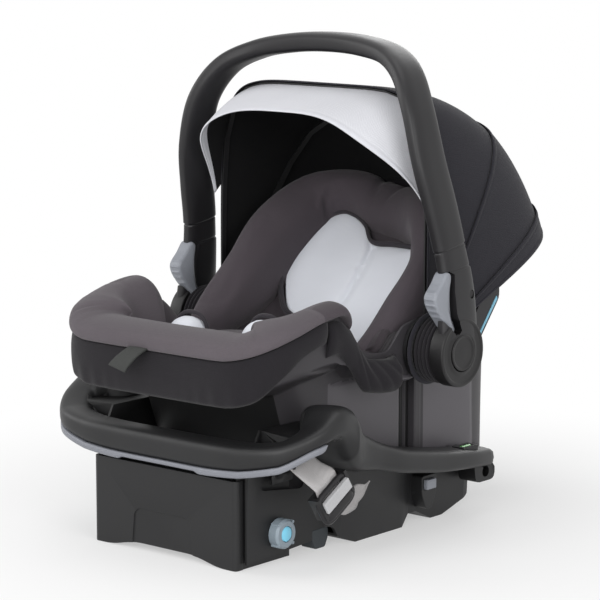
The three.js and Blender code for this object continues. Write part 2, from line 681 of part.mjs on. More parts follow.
// ---------------------------------------------------------------------------------------------------------
// Belt strap on the base: webbing out of the belt path, a tilt adjuster, the folded tail, and the stowed
// connector behind it.
// ---------------------------------------------------------------------------------------------------------
const STRAP_WIDTH = 36;
const STRAP_THICK = 1.8;
const ADJUSTER = { at: v3(190, -186, 88), across: v3(0, 0.86, 0.51), down: v3(0.06, 0.5, -0.86) };

function alongAdjuster(acrossBy, downBy, outBy) {
  const out = ADJUSTER.across.clone().cross(ADJUSTER.down).negate().normalize();
  return ADJUSTER.at.clone()
    .addScaledVector(ADJUSTER.across, acrossBy)
    .addScaledVector(ADJUSTER.down, downBy)
    .addScaledVector(out, outBy);
}

// A box in the adjuster's own frame.
function adjusterBlock(across, down, out) {
  const ring = (d) => [
    [across[0], out[0]], [across[1], out[0]], [across[1], out[1]], [across[0], out[1]],
  ].map(([a, o]) => alongAdjuster(a, d, o));
  return loft([ring(down[0]), ring(down[1])]);
}

function beltStrap() {
  const across = ADJUSTER.across;
  const level = v3(0.1, 1, 0.1);
  const strap = [
    { at: v3(FRONT_HALF - WALL - 1, -188, 99), across: level }, { at: v3(128, -188, 101), across: level },
    { at: v3(152, -192, 106), across: level }, { at: v3(172, -197, 111), across: v3(0, 1, 0.25) },
    { at: alongAdjuster(0, -21, -2), across }, { at: alongAdjuster(0, -15, -1), across },
    { at: alongAdjuster(0, -3, -1.2), across },
  ];
  piece('latch_strap', band(strap, STRAP_WIDTH, STRAP_THICK), webbing);
  const frame = cut(
    adjusterBlock([-25, 25], [-13, 13], [-8, -4.2]), adjusterBlock([-20, 20], [-8, 8], [-10, -1]),
  );
  const cheeks = [-1, 1].map(
    (s) => adjusterBlock([s * 25, s * 21].sort((a, b) => a - b), [-13, 13], [-5, 6]),
  );
  piece('strap_adjuster', join(frame, ...cheeks), blackPlastic);
  piece('adjuster_plate', adjusterBlock([-20.7, 20.7], [-5, 7], [0, 5.5]), palePlastic);
  const tail = [
    { at: alongAdjuster(0, 3, -1.3), across }, { at: alongAdjuster(0, 9, -1.5), across },
    { at: alongAdjuster(0, 17, -3), across },
    { at: v3(178, -150, 70), across: v3(0.1, 0.7, 0.6) }, { at: v3(176, -132, 64), across: v3(0, 0.6, 0.8) },
    { at: v3(170, -116, 68), across: v3(0.1, 0.4, 0.9) }, { at: v3(168, -98, 66), across: v3(0, 0.3, 1) },
  ];
  piece('strap_tail', band(tail, STRAP_WIDTH * 0.8, STRAP_THICK), webbing);
}

const CONNECTOR = { y: [38, 66], z: [20, 62], face: REAR_HALF + 22.5 };
function stowedConnector() {
  const wall = REAR_HALF + GAP;
  const housing = acrossX(
    outline(
      [
        [CONNECTOR.y[0], CONNECTOR.z[1]], [CONNECTOR.y[0], 40], [CONNECTOR.y[0] + 8, CONNECTOR.z[0]],
        [CONNECTOR.y[1] - 8, CONNECTOR.z[0]], [CONNECTOR.y[1], 40], [CONNECTOR.y[1], CONNECTOR.z[1]],
      ],
      4,
    ),
    wall, CONNECTOR.face - 4,
  );
  const well = block([CONNECTOR.face - 9, CONNECTOR.face], [42.5, 61.5], [44.5, 57.5]);
  piece('latch_connector', housing.subtract(well), blackPlastic);
  piece(
    'connector_button', block([CONNECTOR.face - 6, CONNECTOR.face + 0.5], [43, 61], [45, 57]), palePlastic,
  );
}

// ---------------------------------------------------------------------------------------------------------
// Seat: an outer skin and an inner bucket that share one rim, open underneath.
// ---------------------------------------------------------------------------------------------------------
const RIM_HEIGHT = [
  [-265, 243], [-240, 257], [-212, 268], [-172, 280], [-138, 284], [-110, 266], [-78, 233], [-38, 228],
  [0, 256], [40, 262], [110, 290], [190, 345], [244, 392],
];
const FLANGE_SHARE = 0.68; // share of the side's height where the flange under the rim starts
const FLANGE_MOST = 215; // and its highest start
const FLANGE_RISE = 16; // height over which it widens
const NOSE_FRONT = [[66, -150], [110, -172], [150, -190], [200, -206]];
const SEAT_FRONT = -270;
const SKIN_REAR = [[66, 210], [200, 215], [295, 228], [400, 244]];
const SKIN_SQUARE = [[66, 8], [180, 8], [230, 3.6]]; // towards the rear
const NOSE_SQUARE = [[66, 6], [150, 5], [230, 6.5]]; // towards the front

function rimHeight(turn) {
  const middle = -12;
  return tableAt(RIM_HEIGHT, middle + 256 * rounded(turn, Math.sin(turn) < 0 ? 6.5 : 3.6).y);
}

// The outer skin at a bearing round the seat, from the bottom edge (0) to the rim (1), moved out by extra.
function skinAt(turn, v, extra = 0) {
  const top = rimHeight(turn);
  const z = lerp(KEEL_BOTTOM, top, v);
  const flange = Math.min(lerp(KEEL_BOTTOM, top, FLANGE_SHARE), FLANGE_MOST);
  const flare = smooth(z, flange, flange + FLANGE_RISE);
  const half = lerp(KEEL_HALF, SEAT_HALF, flare) + extra;
  const front = lerp(tableAt(NOSE_FRONT, z), SEAT_FRONT, flare) - extra;
  const rear = tableAt(SKIN_REAR, z) + extra;
  const { x, y } = rounded(turn, tableAt(Math.sin(turn) < 0 ? NOSE_SQUARE : SKIN_SQUARE, z));
  return v3(half * x, (front + rear) / 2 + ((rear - front) / 2) * y, z);
}

const SIDE_FILL = [[0, 0], [0.09, 0.3], [0.32, 0.46], [0.55, 0.55], [0.75, 0.76], [0.9, 0.97], [1, 1]];
const FRONT_FILL = [[0, 0], [0.2, 0.28], [0.55, 0.66], [0.87, 0.9], [1, 1]];
const REAR_FILL = [[0, 0], [0.3, 0.25], [0.5, 0.43], [0.75, 0.7], [1, 1]];
const BUCKET_RIM = 3.4; // the rim's width

// The inner bucket from its floor (0) to the rim (1).
function bucketAt(turn, v) {
  const s = Math.sin(turn);
  const round = rounded(turn, 2.8);
  const floor = v3(76 * round.x, -82 + 50 * round.y, BUCKET_FLOOR);
  const rim = skinAt(turn, 1, -BUCKET_RIM);
  const sideFill = tableAt(SIDE_FILL, v);
  const endFill = tableAt(s < 0 ? FRONT_FILL : REAR_FILL, v);
  const fill = lerp(sideFill, endFill, s * s);
  return v3(lerp(floor.x, rim.x, fill), lerp(floor.y, rim.y, fill), lerp(floor.z, rim.z, v));
}

const BEARINGS = Array.from({ length: RING_POINTS }, (_, i) => (i / RING_POINTS) * 2 * Math.PI);
const BUCKET_LEVELS = [0, 0.12, 0.3, 0.5, 0.7, 0.86, 1];
const SKIN_LEVELS = [0, 0.3, 0.55, 0.68, 0.77, 0.88, 1];

function skinVolume(extra, bottom = KEEL_BOTTOM) {
  const rings = SKIN_LEVELS.map((v) => BEARINGS.map((turn) => skinAt(turn, v, extra)));
  if (bottom < KEEL_BOTTOM) rings.unshift(BEARINGS.map((turn) => skinAt(turn, 0, extra).setZ(bottom)));
  return loft(rings);
}

function bucketVolume(extra) {
  const rings = BUCKET_LEVELS.map((v) =>
    BEARINGS.map((turn) => {
      const at = bucketAt(turn, v);
      const out = v3(Math.cos(turn), Math.sin(turn), 0);
      return at.addScaledVector(out, extra).add(v3(0, 0, -extra));
    }),
  );
  const top = rings[rings.length - 1].map((p) => v3(p.x, p.y, p.z + 90));
  return loft([...rings, top]);
}

// The space over the base's rails, which the wide part of the seat must keep out of.
function railRoom(extra) {
  const line = [
    [-260, 190], [-186, 192], [-160, 188], [-126, 164], [-92, 141], [-36, 121], [45, 104], [110, 94],
    [170, 88], [230, 70],
  ];
  const top = line.map(([y, z]) => [y, z + extra]);
  const side = acrossX(outline([[-260, -10], ...top, [230, -10]]), PLUG_HALF + 1.5 - extra, 240);
  const noseHalf = FRONT_HALF - WALL - 3 - extra;
  const frontWall = block([noseHalf, 240], [-260, -94 + extra], [-10, 126 + extra]);
  const highWall = block([noseHalf, 240], [-260, -128 + extra], [-10, LEDGE_TOP + 3 + extra]);
  return bothSides(join(side, frontWall, highWall));
}

function plugVolume(inset, bottom) {
  const half = PLUG_HALF - inset;
  const nose = FRONT_HALF - WALL - 3 - inset;
  const side = [[nose, -134 + inset, 30], [nose, -104], [half, -92], [half, 154 - inset, 20]];
  const plan = outline([...side, ...side.slice().reverse().map(([x, y, r]) => [-x, y, r])]);
  const body = upZ(plan, bottom, 215, 4);
  const saddles = CATCH_BARS.map(({ y, z }) => {
    const reach = BAR_R + SLIDE_GAP + 1.4 + inset;
    return block([-200, 200], [y - reach, y + reach], [-10, z + reach]);
  });
  return cut(body, ...saddles);
}

function seatShell() {
  const skin = cut(skinVolume(0), railRoom(0));
  const plug = plugVolume(0, SEAT_REST + GAP);
  const outer = cut(join(skin, plug), bucketVolume(0));
  const hollowSkin = cut(skinVolume(-WALL, KEEL_BOTTOM - 10), railRoom(WALL));
  const hollow = cut(join(hollowSkin, plugVolume(WALL, SEAT_REST - 10)), bucketVolume(WALL));
  return cut(outer, hollow);
}

// The soft goods follow the bucket and the skin as layers, one on the other.
const PAD_TOP = -(LINER + PAD); // offset of the seat pad's face from the bucket
const gridBearings = (from, to) => spread(from, to, to - from).map((i) => (i / RING_POINTS) * 2 * Math.PI);

// Right half of the padded roll, from the hip to the head: share of the seat's half-width, centre,
// half-thickness and half-height.
const ROLL = [
  { out: 0.62, y: -98, z: 209, thick: 18, tall: 22 },
  { out: 0.69, y: -40, z: 233, thick: 23, tall: 36 },
  { out: 0.705, y: 20, z: 267, thick: 27, tall: 50 },
  { out: 0.7, y: 80, z: 313, thick: 30, tall: 56 },
  { out: 0.6, y: 147, z: 349, thick: 32, tall: 52 },
  { out: 0.34, y: 170, z: 358, thick: 35, tall: 46 },
  { out: 0, y: 168, z: 353, thick: 36, tall: 42 },
];

function rollSolid(extra) {
  const whole = [...ROLL, ...ROLL.slice(0, -1).reverse().map((s) => ({ ...s, out: -s.out }))];
  const path = new THREE.CatmullRomCurve3(
    whole.map((s) => v3(s.out * SEAT_HALF, s.y, s.z)), false, 'centripetal',
  );
  const size = new THREE.CatmullRomCurve3(whole.map((s) => v3(s.thick, s.tall, 0)), false, 'centripetal');
  const rings = spread(0, 1, whole.length + 3).map((t) => {
    const at = path.getPoint(t);
    const ahead = path.getTangent(t);
    const up = v3(0, -0.6, 0.8);
    up.addScaledVector(ahead, -up.dot(ahead)).normalize();
    const side = ahead.clone().cross(up);
    const { x: thick, y: tall } = size.getPoint(t);
    return ellipse(
      10,
      (c, s) =>
        at.clone().addScaledVector(side, (thick + extra) * c).addScaledVector(up, (tall + extra) * s),
    );
  });
  return loft(rings);
}
const ellipse = (count, at) =>
  Array.from(
    { length: count },
    (_, i) => at(Math.cos((i / count) * 2 * Math.PI), Math.sin((i / count) * 2 * Math.PI)),
  );

// A rounded cushion in a box, lofted along Y.
function cushion(x, y, z, sides = 12, steps = 5) {
  const middle = (range) => (range[0] + range[1]) / 2;
  const half = (range) => (range[1] - range[0]) / 2;
  const rings = spread(0, 1, steps).map((t) => {
    const turn = (t - 0.5) * 0.9 * Math.PI;
    const size = Math.cos(turn) ** 0.6;
    const ahead = Math.sin(turn) / Math.sin(0.45 * Math.PI);
    return ellipse(sides, (c, s) =>
      v3(
        middle(x) + half(x) * size * power(c, 2.6), middle(y) + half(y) * ahead,
        middle(z) + half(z) * size * power(s, 2.6),
      ));
  });
  return loft(rings);
}

const THIGH = { x: [-112, 112], y: [-172, -40], z: [150, 240] }; // raised front of the body support
const LEG = { x: [34, 90], y: [-178, -122], z: [160, 252] }; // pale cushion in front of it, one a side
const ranged = (range, extra) => [range[0] - extra, range[1] + extra];
const legCushion = (extra) => cushion(ranged(LEG.x, extra), ranged(LEG.y, extra), ranged(LEG.z, extra));

function seatLinings() {
  const levels = BUCKET_LEVELS.slice(0, -1);
  const lined = (low, high) => wallOf(bucketAt, BEARINGS, levels, low, high, { ring: true, floor: true });
  piece('foam_liner', lined(-LAYER_GAP, -LINER), foam);
  piece('seat_pad', lined(-LINER - LAYER_GAP, PAD_TOP), taupeFabric);
  const face = offsetRows(bucketAt, BEARINGS, levels, PAD_TOP - LAYER_GAP);
  const padRoom = loft([...face, face[face.length - 1].map((p) => v3(p.x, p.y, 500))]);
  // The padded roll runs from one hip round the head to the other, with the pale insert on its back.
  const legs = bothSides(legCushion(LAYER_GAP));
  const roll = join(rollSolid(0), cushion(THIGH.x, THIGH.y, THIGH.z, 16, 7));
  piece('body_support', cut(roll.intersect(padRoom), legs), taupeFabric);
  pair('leg_insert', legCushion(0).intersect(padRoom), paleFabric);
  const middle = RING_POINTS / 4;
  const crown = (turn, v) => PAD_TOP - 6 - 5 * swell((v - 0.2) / 0.6) * Math.sin(turn) ** 2;
  const insert = wallOf(
    bucketAt, gridBearings(middle - 7, middle + 7), levels.slice(1, 5), PAD_TOP - LAYER_GAP - 0.2, crown,
  );
  const thighRoom = cushion(
    ranged(THIGH.x, LAYER_GAP), ranged(THIGH.y, LAYER_GAP), ranged(THIGH.z, LAYER_GAP), 16, 7,
  );
  const between = block([-100, 100], [-300, 300], [0, 330]);
  piece('center_insert', cut(insert, rollSolid(LAYER_GAP), thighRoom).intersect(between), paleFabric);
}

// The padded cover over the front of the rim, from one wing round the foot end to the other.
function frontCover() {
  const half = RING_POINTS / 2;
  const bearings = gridBearings(half + 2, RING_POINTS - 2);
  const section = [
    [3.5, 1.6], [15, 2], [17, 8], [14, 17], [2, 24], [-18, 27], [-38, 25], [-52, 20], [-58, 12], [-52, 7],
    [-30, 6], [-8, 2],
  ];
  const rings = bearings.map((turn, i) => {
    const rim = skinAt(turn, 1);
    const ahead = skinAt(turn + 0.02, 1).sub(skinAt(turn - 0.02, 1)).setZ(0).normalize();
    const out = v3(ahead.y, -ahead.x, 0);
    const reach = i === 0 || i === bearings.length - 1 ? 0.5 : 1;
    const puff = (h) => (h > 2 ? 2 + (h - 2) * lerp(1, 0.6, smooth(rim.z, 250, 282)) : h);
    return section.map(
      ([o, h]) => rim.clone().addScaledVector(out, o < 0 ? o * reach : o).add(v3(0, 0, puff(h))),
    );
  });
  piece('front_cover', loft(rings), taupeFabric);
}

// A padded cloth wall hung from the rim, between two heights below it; outer is its thickness at a
// bearing and a share of its height.
function hungCloth(columns, shares, topDrop, bottomDrop, outer) {
  const face = (turn, t) => {
    const rim = skinAt(turn, 1);
    return rim.setZ(rim.z - lerp(bottomDrop(rim.z), topDrop, t));
  };
  const inner = (turn, t) => lerp(-3, 1, smooth(t, 0, 0.6));
  const room = [-0.6, 0.6].map((y) => shifted(skinVolume(GAP), 0, y, 0));
  return cut(wallOf(face, columns, shares, inner, outer), skinVolume(GAP), ...room);
}

function seatCovers() {
  frontCover();
  const half = RING_POINTS / 2;
  const hanging = (turn, t) => 6 + 9 * swell(0.12 + t * 0.72, 0.6);
  const skirtDrop = (rim) => lerp(53, 27, smooth(rim, 248, 276));
  const columnsInFront = gridBearings(half + 3, RING_POINTS - 3);
  const skirt = hungCloth(columnsInFront, [0, 0.25, 0.65, 1], 0, skirtDrop, hanging);
  piece('front_skirt', skirt, blackFabric);
  // The side cover widens into a loose pocket of cloth in front of the pivot.
  const columns = [-2.9, -2, -1, -0.4].map((i) => gridBearings(i, i + 1)[0]);
  const pocket = (turn) => smooth(turn, columns[0] * 0.7, -0.1);
  const loose = (turn, t) => 4 + 6 * swell(t, 0.7) + 16 * pocket(turn) * swell(t * 0.8 + 0.1, 0.6);
  pair('side_cover', hungCloth(columns, [0, 0.5, 1], 6, () => 46, loose), blackFabric);
  const tab = [
    { at: v3(-44, SEAT_FRONT - 18.6, 247), across: v3(1, 0, 0) },
    { at: v3(-46, SEAT_FRONT - 19.4, 239), across: v3(1, 0, 0) },
    { at: v3(-50, SEAT_FRONT - 22, 228), across: v3(1, 0, 0) },
    { at: v3(-54, SEAT_FRONT - 25, 219), across: v3(1, 0, 0) },
  ];
  piece('adjuster_strap', band(tab, 26, 2), blackFabric);
}

// Pivot bosses on the seat's sides, with the pins that the handle turns on.
function pivotBosses() {
  const profile = [
    [120, 0], [120, BOSS_R], [HUB_BACK - 14, BOSS_R], [HUB_BACK - 10, BOSS_R - 4], [HUB_BACK - 10, NECK_R],
    [HUB_BACK - GAP, NECK_R], [HUB_BACK - GAP, PIN_R],
    [HUB_FACE - 4, PIN_R], [HUB_FACE - 4, 0],
  ];
  const boss = turned(profile, PIVOT.y, PIVOT.z, 28);
  pair('pivot_boss', cut(boss, skinVolume(GAP), railRoom(GAP)), blackPlastic);
}

// Side plates behind the handle, each with a coloured line let into its rear edge.
const PLATE = [[108, 206], [122, 208], [172, 268], [170, 286], [158, 292], [146, 286], [104, 226]];
const ACCENT = [[118, 213], [122, 213], [167, 266], [165, 270]];
function sidePlates() {
  const groove = acrossX(outline(grown(ACCENT, GAP)), SEAT_HALF - 20, SEAT_HALF + 10);
  const plate = acrossX(outline(PLATE, 8), SEAT_HALF - 30, SEAT_HALF + 3.4);
  pair('side_plate', cut(plate, groove, skinVolume(GAP), railRoom(GAP)), slatePlastic);
  const line = acrossX(outline(ACCENT), SEAT_HALF - 20, SEAT_HALF + 3.8);
  pair('accent_line', cut(line, skinVolume(GAP)), bluePlastic);
}

// Squeeze lever at the back of the seat that lets it off the base.
const LEVER = { half: 52, low: 226, high: 262, travel: 12 };
function releaseLever() {
  const rear = skinAt(Math.PI / 2, 0.45).y;
  const grip = outline(
    [
      [-LEVER.half, LEVER.low], [LEVER.half, LEVER.low], [LEVER.half - 8, LEVER.high],
      [-LEVER.half + 8, LEVER.high],
    ],
    10,
  );
  const hole = outline(
    [
      [-LEVER.half + 14, LEVER.low + 10], [LEVER.half - 14, LEVER.low + 10],
      [LEVER.half - 20, LEVER.high - 10], [-LEVER.half + 20, LEVER.high - 10],
    ],
    6,
  );
  const plate = cut(acrossY(grip, rear - 10, rear + 14), acrossY(hole, rear - 20, rear + 30));
  piece(
    'release_lever', cut(plate, skinVolume(GAP), shifted(skinVolume(GAP), 0, 0, -LEVER.travel)),
    greyPlastic,
  );
}

// ---------------------------------------------------------------------------------------------------------
// Canopy: layers of one rounded arch turned about the pivot, on two bows
// ---------------------------------------------------------------------------------------------------------

// The arch's outline at a bearing from one pivot (0) to the other (180): distance out along X, and radius.
function archAt(turn) {
  const { x, y } = rounded(turn, HOOD.squareness);
  return { x: HOOD.half * x, r: HOOD.radius * y };
}

// The arch turned back from upright by an angle in degrees.
function hoodAt(turn, back) {
  const { x, r } = archAt(turn);
  return v3(x, PIVOT.y + r * Math.sin(rad(back)), PIVOT.z + r * Math.cos(rad(back)));
}

// The same with the second parameter a distance from the plane at a given angle.
const besidePlane = (angle) => (turn, distance) =>
  hoodAt(turn, angle + THREE.MathUtils.radToDeg(distance / Math.max(archAt(turn).r, 60)));

const ARCH_END = Math.asin(HOOD.innerR / HOOD.radius);
const archBearings = (steps, end = ARCH_END) => spread(end, Math.PI - end, steps);

function hoodLayer(from, to, steps, depth) {
  return wallOf(hoodAt, archBearings(22), spread(from, to, steps), depth, depth + CLOTH);
}

// A flat bow in the plane at an angle, with an eye round each pivot boss, eyeDepth in from the arch's side.
const BOW_THICK = 2;
const EYE_THICK = 2;
const EYE_R = BOSS_R + 5;
function bow(angle, depth, eyeFrom) {
  const bar = wallOf(besidePlane(angle), archBearings(22), [-4, 4], depth, depth + BOW_THICK);
  const barFace = HOOD.half - depth - 0.2;
  const eye = disc(EYE_R, eyeFrom, eyeFrom + EYE_THICK, PIVOT.y, PIVOT.z, 20);
  const hole = disc(BOSS_R + SLIDE_GAP, eyeFrom - 5, eyeFrom + 5, PIVOT.y, PIVOT.z, 24);
  const stem = lugOf(angle, eyeFrom, eyeFrom + EYE_THICK, BOSS_R + 2, HOOD.innerR + 12);
  const post = lugOf(
    angle, Math.min(eyeFrom, barFace - BOW_THICK), barFace, EYE_R + SLIDE_GAP, HOOD.innerR + 12,
  );
  return join(bar, bothSides(join(cut(join(eye, stem), hole), post)));
}

// A small block standing out from the pivot at an angle from upright.
function lugOf(angle, from, to, low, high) {
  const upright = [[-2.4, low], [2.4, low], [2.4, high], [-2.4, high]];
  const sine = Math.sin(rad(angle));
  const cosine = Math.cos(rad(angle));
  const leaned = upright.map(([y, z]) => [PIVOT.y + y * cosine + z * sine, PIVOT.z + z * cosine - y * sine]);
  return acrossX(outline(leaned), from, to);
}

// Angle of the visor's edge ahead of its middle, against the cosine of the bearing.
const VISOR_SWEEP = [[0, 0], [0.42, -1], [0.66, 1], [0.84, 7], [0.97, 12]];

function canopy() {
  const eyelet = disc(HOOD.innerR + 4, HOOD.half - CLOTH, HOOD.half, PIVOT.y, PIVOT.z, 24);
  const bossHole = disc(BOSS_R + GAP, HOOD.half - 5, HOOD.half + 5, PIVOT.y, PIVOT.z, 28);
  const rear = hoodLayer(HOOD_REAR - 7, HOOD_REAR, 2, 0);
  piece('canopy_rear', join(rear, bothSides(cut(eyelet, bossHole))), blackFabric);
  piece('canopy_mid', hoodLayer(MID_BOW - 1, HOOD_REAR - 1, 5, HOOD_STEP), blackFabric);
  piece('canopy_front', hoodLayer(FRONT_BOW, MID_BOW, 5, 2 * HOOD_STEP), blackFabric);
  const bowDepth = 3 * HOOD_STEP;
  piece('bow_mid', bow(MID_BOW, bowDepth, SEAT_HALF + SLIDE_GAP), blackPlastic);
  piece('bow_front', bow(FRONT_BOW + 1, bowDepth, SEAT_HALF + SLIDE_GAP + EYE_THICK + GAP), blackPlastic);
  const visorDepth = bowDepth + BOW_THICK + GAP;
  const edgeAt = (turn) => VISOR_EDGE + tableAt(VISOR_SWEEP, Math.abs(Math.cos(turn)));
  const visorAt = (turn, t) => hoodAt(turn, lerp(edgeAt(turn), FRONT_BOW + 1.6, t));
  const depthAt = (turn, t) => visorDepth + 3.5 * (1 - t);
  const underAt = (turn, t) => depthAt(turn, t) + CLOTH;
  piece(
    'visor', wallOf(visorAt, archBearings(22).slice(3, -3), spread(0, 1, 4), depthAt, underAt), paleFabric,
  );
}

// ---------------------------------------------------------------------------------------------------------
// Handle
// ---------------------------------------------------------------------------------------------------------

// Right half of the bar, from the hub to the middle of the grip: share of the hub's distance out, place
// along Y, share of the grip's height over the pivot, half-width along Y and half-thickness.
const BAR = [
  { out: 1.000, y: 21, rise: -0.056, wide: 25, thick: 9 },
  { out: 1.000, y: 21, rise: 0.070, wide: 26, thick: 9.3 },
  { out: 0.983, y: 23, rise: 0.211, wide: 25.5, thick: 9.8 },
  { out: 0.950, y: 18, rise: 0.352, wide: 25.5, thick: 10 },
  { out: 0.921, y: 7, rise: 0.493, wide: 26.5, thick: 10 },
  { out: 0.880, y: -3.5, rise: 0.634, wide: 27, thick: 10 },
  { out: 0.806, y: -4, rise: 0.797, wide: 25, thick: 10.5 },
  { out: 0.676, y: 10, rise: 0.910, wide: 23.5, thick: 11 },
  { out: 0.499, y: 28, rise: 0.966, wide: 22.5, thick: 11.5 },
  { out: 0.264, y: 38, rise: 0.992, wide: 22, thick: 12 },
  { out: 0.000, y: 41, rise: 1.000, wide: 22, thick: 12 },
];

function handleBar() {
  const whole = [...BAR, ...BAR.slice(0, -1).reverse().map((s) => ({ ...s, out: -s.out }))];
  const armX = HUB_FACE - 9.5;
  const centres = whole.map((s) => v3(s.out * armX, s.y, PIVOT.z + s.rise * GRIP_REACH));
  const path = new THREE.CatmullRomCurve3(centres, false, 'centripetal');
  const size = new THREE.CatmullRomCurve3(whole.map((s) => v3(s.wide, s.thick, 0)), false, 'centripetal');
  const sides = 10;
  const squareness = 3;
  const rings = spread(0, 1, (whole.length - 1) * 1.5).map((t) => {
    const at = path.getPoint(t);
    const ahead = path.getTangent(t);
    const along = v3(0, 1, 0).addScaledVector(ahead, -ahead.y).normalize();
    const out = ahead.clone().cross(along);
    const { x: wide, y: thick } = size.getPoint(t);
    return Array.from({ length: sides }, (_, i) => {
      const turn = (i / sides) * 2 * Math.PI;
      return at.clone()
        .addScaledVector(along, wide * power(Math.cos(turn), squareness))
        .addScaledVector(out, thick * power(Math.sin(turn), squareness));
    });
  });
  return loft(rings);
}

// Thumb release let into the front of each arm, as a (y, z) outline.
const RELEASE = [
  [-22, 97], [-34, 84], [-46, 70], [-44, 59], [-27, 38],
  [-12, 23], [-7, 27], [-15, 47], [-17, 73], [-15, 93],
].map(([y, z]) => [PIVOT.y + y, PIVOT.z + z]);
const RELEASE_X = [HUB_FACE - 25, HUB_FACE - 6];
const SCREW = { y: PIVOT.y + 21, z: PIVOT.z + 67, r: 5 };

function handle() {
  const hub = turned(
    [[HUB_BACK, 0], [HUB_BACK, HUB_R], [HUB_FACE - 3, HUB_R], [HUB_FACE, HUB_R - 3], [HUB_FACE, 0]],
    PIVOT.y, PIVOT.z, 36,
  );
  const pinHole = disc(PIN_R + GAP, HUB_BACK - 20, HUB_FACE - 3.5, PIVOT.y, PIVOT.z, 24);
  const capSeat = disc(CAP_R + GAP, HUB_FACE - 2.5, HUB_FACE + 5, PIVOT.y, PIVOT.z, 32);
  const pocket = grown(RELEASE, SLIDE_GAP);
  const pressed = pocket.map(([y, z]) => [y + RELEASE_TRAVEL, z]);
  const pockets = [pocket, pressed].map(
    (points) => acrossX(outline(points, 2), RELEASE_X[0] - 10, HUB_FACE + 8),
  );
  const screwSeat = disc(SCREW.r + GAP, HUB_FACE - 12, HUB_FACE, SCREW.y, SCREW.z, 14);
  const inside = disc(HUB_R + 2, HUB_BACK - 40, HUB_BACK, PIVOT.y, PIVOT.z, 24);
  const bar = cut(
    join(handleBar(), bothSides(hub)), bothSides(inside), bothSides(pinHole), bothSides(capSeat),
    bothSides(join(...pockets)), bothSides(screwSeat),
  );
  piece('handle_bar', bar, blackPlastic);
  pair(
    'hub_cap',
    turned(
      [
        [HUB_FACE - 2.2, 0], [HUB_FACE - 2.2, CAP_R], [HUB_FACE + 0.4, CAP_R], [HUB_FACE + 1, CAP_R - 1],
        [HUB_FACE + 1, 0],
      ],
      PIVOT.y, PIVOT.z, 32,
    ),
    blackPlastic,
  );
  pair('release_button', acrossX(outline(RELEASE, 4), ...RELEASE_X), greyPlastic);
  pair('handle_screw', disc(SCREW.r, HUB_FACE - 11.7, HUB_FACE - 5, SCREW.y, SCREW.z, 14), steel);
}

const curves = rimCurves();
piece('base_shell', baseShell(curves, stripeSolid(curves, GAP)), blackPlastic);
piece('trim_stripe', stripeSolid(curves, 0), greyPlastic);
levelVials();
baseDetails();
levellingFoot();
beltStrap();
stowedConnector();
piece('seat_shell', seatShell(), blackPlastic);
seatLinings();
seatCovers();
pivotBosses();
sidePlates();
releaseLever();
canopy();
handle();

export default model;
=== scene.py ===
import json
import math

import bmesh
import bpy
import numpy as np
from bpy.props import FloatProperty, FloatVectorProperty, PointerProperty
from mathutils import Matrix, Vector

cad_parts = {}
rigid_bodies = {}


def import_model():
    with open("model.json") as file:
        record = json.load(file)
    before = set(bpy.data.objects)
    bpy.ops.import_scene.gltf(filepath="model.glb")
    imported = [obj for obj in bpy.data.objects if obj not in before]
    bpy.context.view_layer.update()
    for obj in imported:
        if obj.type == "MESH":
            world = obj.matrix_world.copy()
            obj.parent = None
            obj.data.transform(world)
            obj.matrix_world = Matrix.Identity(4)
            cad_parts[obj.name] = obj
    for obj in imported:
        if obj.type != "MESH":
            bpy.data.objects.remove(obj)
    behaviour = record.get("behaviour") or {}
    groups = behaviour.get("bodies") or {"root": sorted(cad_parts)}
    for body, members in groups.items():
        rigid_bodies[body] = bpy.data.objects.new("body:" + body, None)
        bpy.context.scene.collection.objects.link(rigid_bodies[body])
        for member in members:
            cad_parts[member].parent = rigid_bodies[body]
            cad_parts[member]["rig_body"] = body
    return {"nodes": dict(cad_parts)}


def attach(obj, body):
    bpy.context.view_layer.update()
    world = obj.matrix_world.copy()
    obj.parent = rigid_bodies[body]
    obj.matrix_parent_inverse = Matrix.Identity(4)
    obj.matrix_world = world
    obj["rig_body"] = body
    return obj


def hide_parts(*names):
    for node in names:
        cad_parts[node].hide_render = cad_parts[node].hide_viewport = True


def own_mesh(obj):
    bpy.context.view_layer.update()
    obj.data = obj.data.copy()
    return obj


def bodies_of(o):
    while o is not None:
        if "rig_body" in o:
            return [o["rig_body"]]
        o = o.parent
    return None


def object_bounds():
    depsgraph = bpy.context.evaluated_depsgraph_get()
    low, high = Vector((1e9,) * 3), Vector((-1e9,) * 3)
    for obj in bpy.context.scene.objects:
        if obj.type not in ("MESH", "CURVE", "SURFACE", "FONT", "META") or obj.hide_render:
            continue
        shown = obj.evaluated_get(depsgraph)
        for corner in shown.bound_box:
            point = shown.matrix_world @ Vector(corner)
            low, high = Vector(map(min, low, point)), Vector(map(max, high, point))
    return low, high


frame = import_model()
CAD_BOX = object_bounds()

bl_info = {
    "name": "Infant car seat",
    "version": (1, 0, 0),
    "blender": (4, 5, 0),
    "location": "3D View > Sidebar > Car Seat",
    "description": "Dresses the jointed infant car seat and its base with smooth shells, padding and cloth",
    "category": "Object",
}

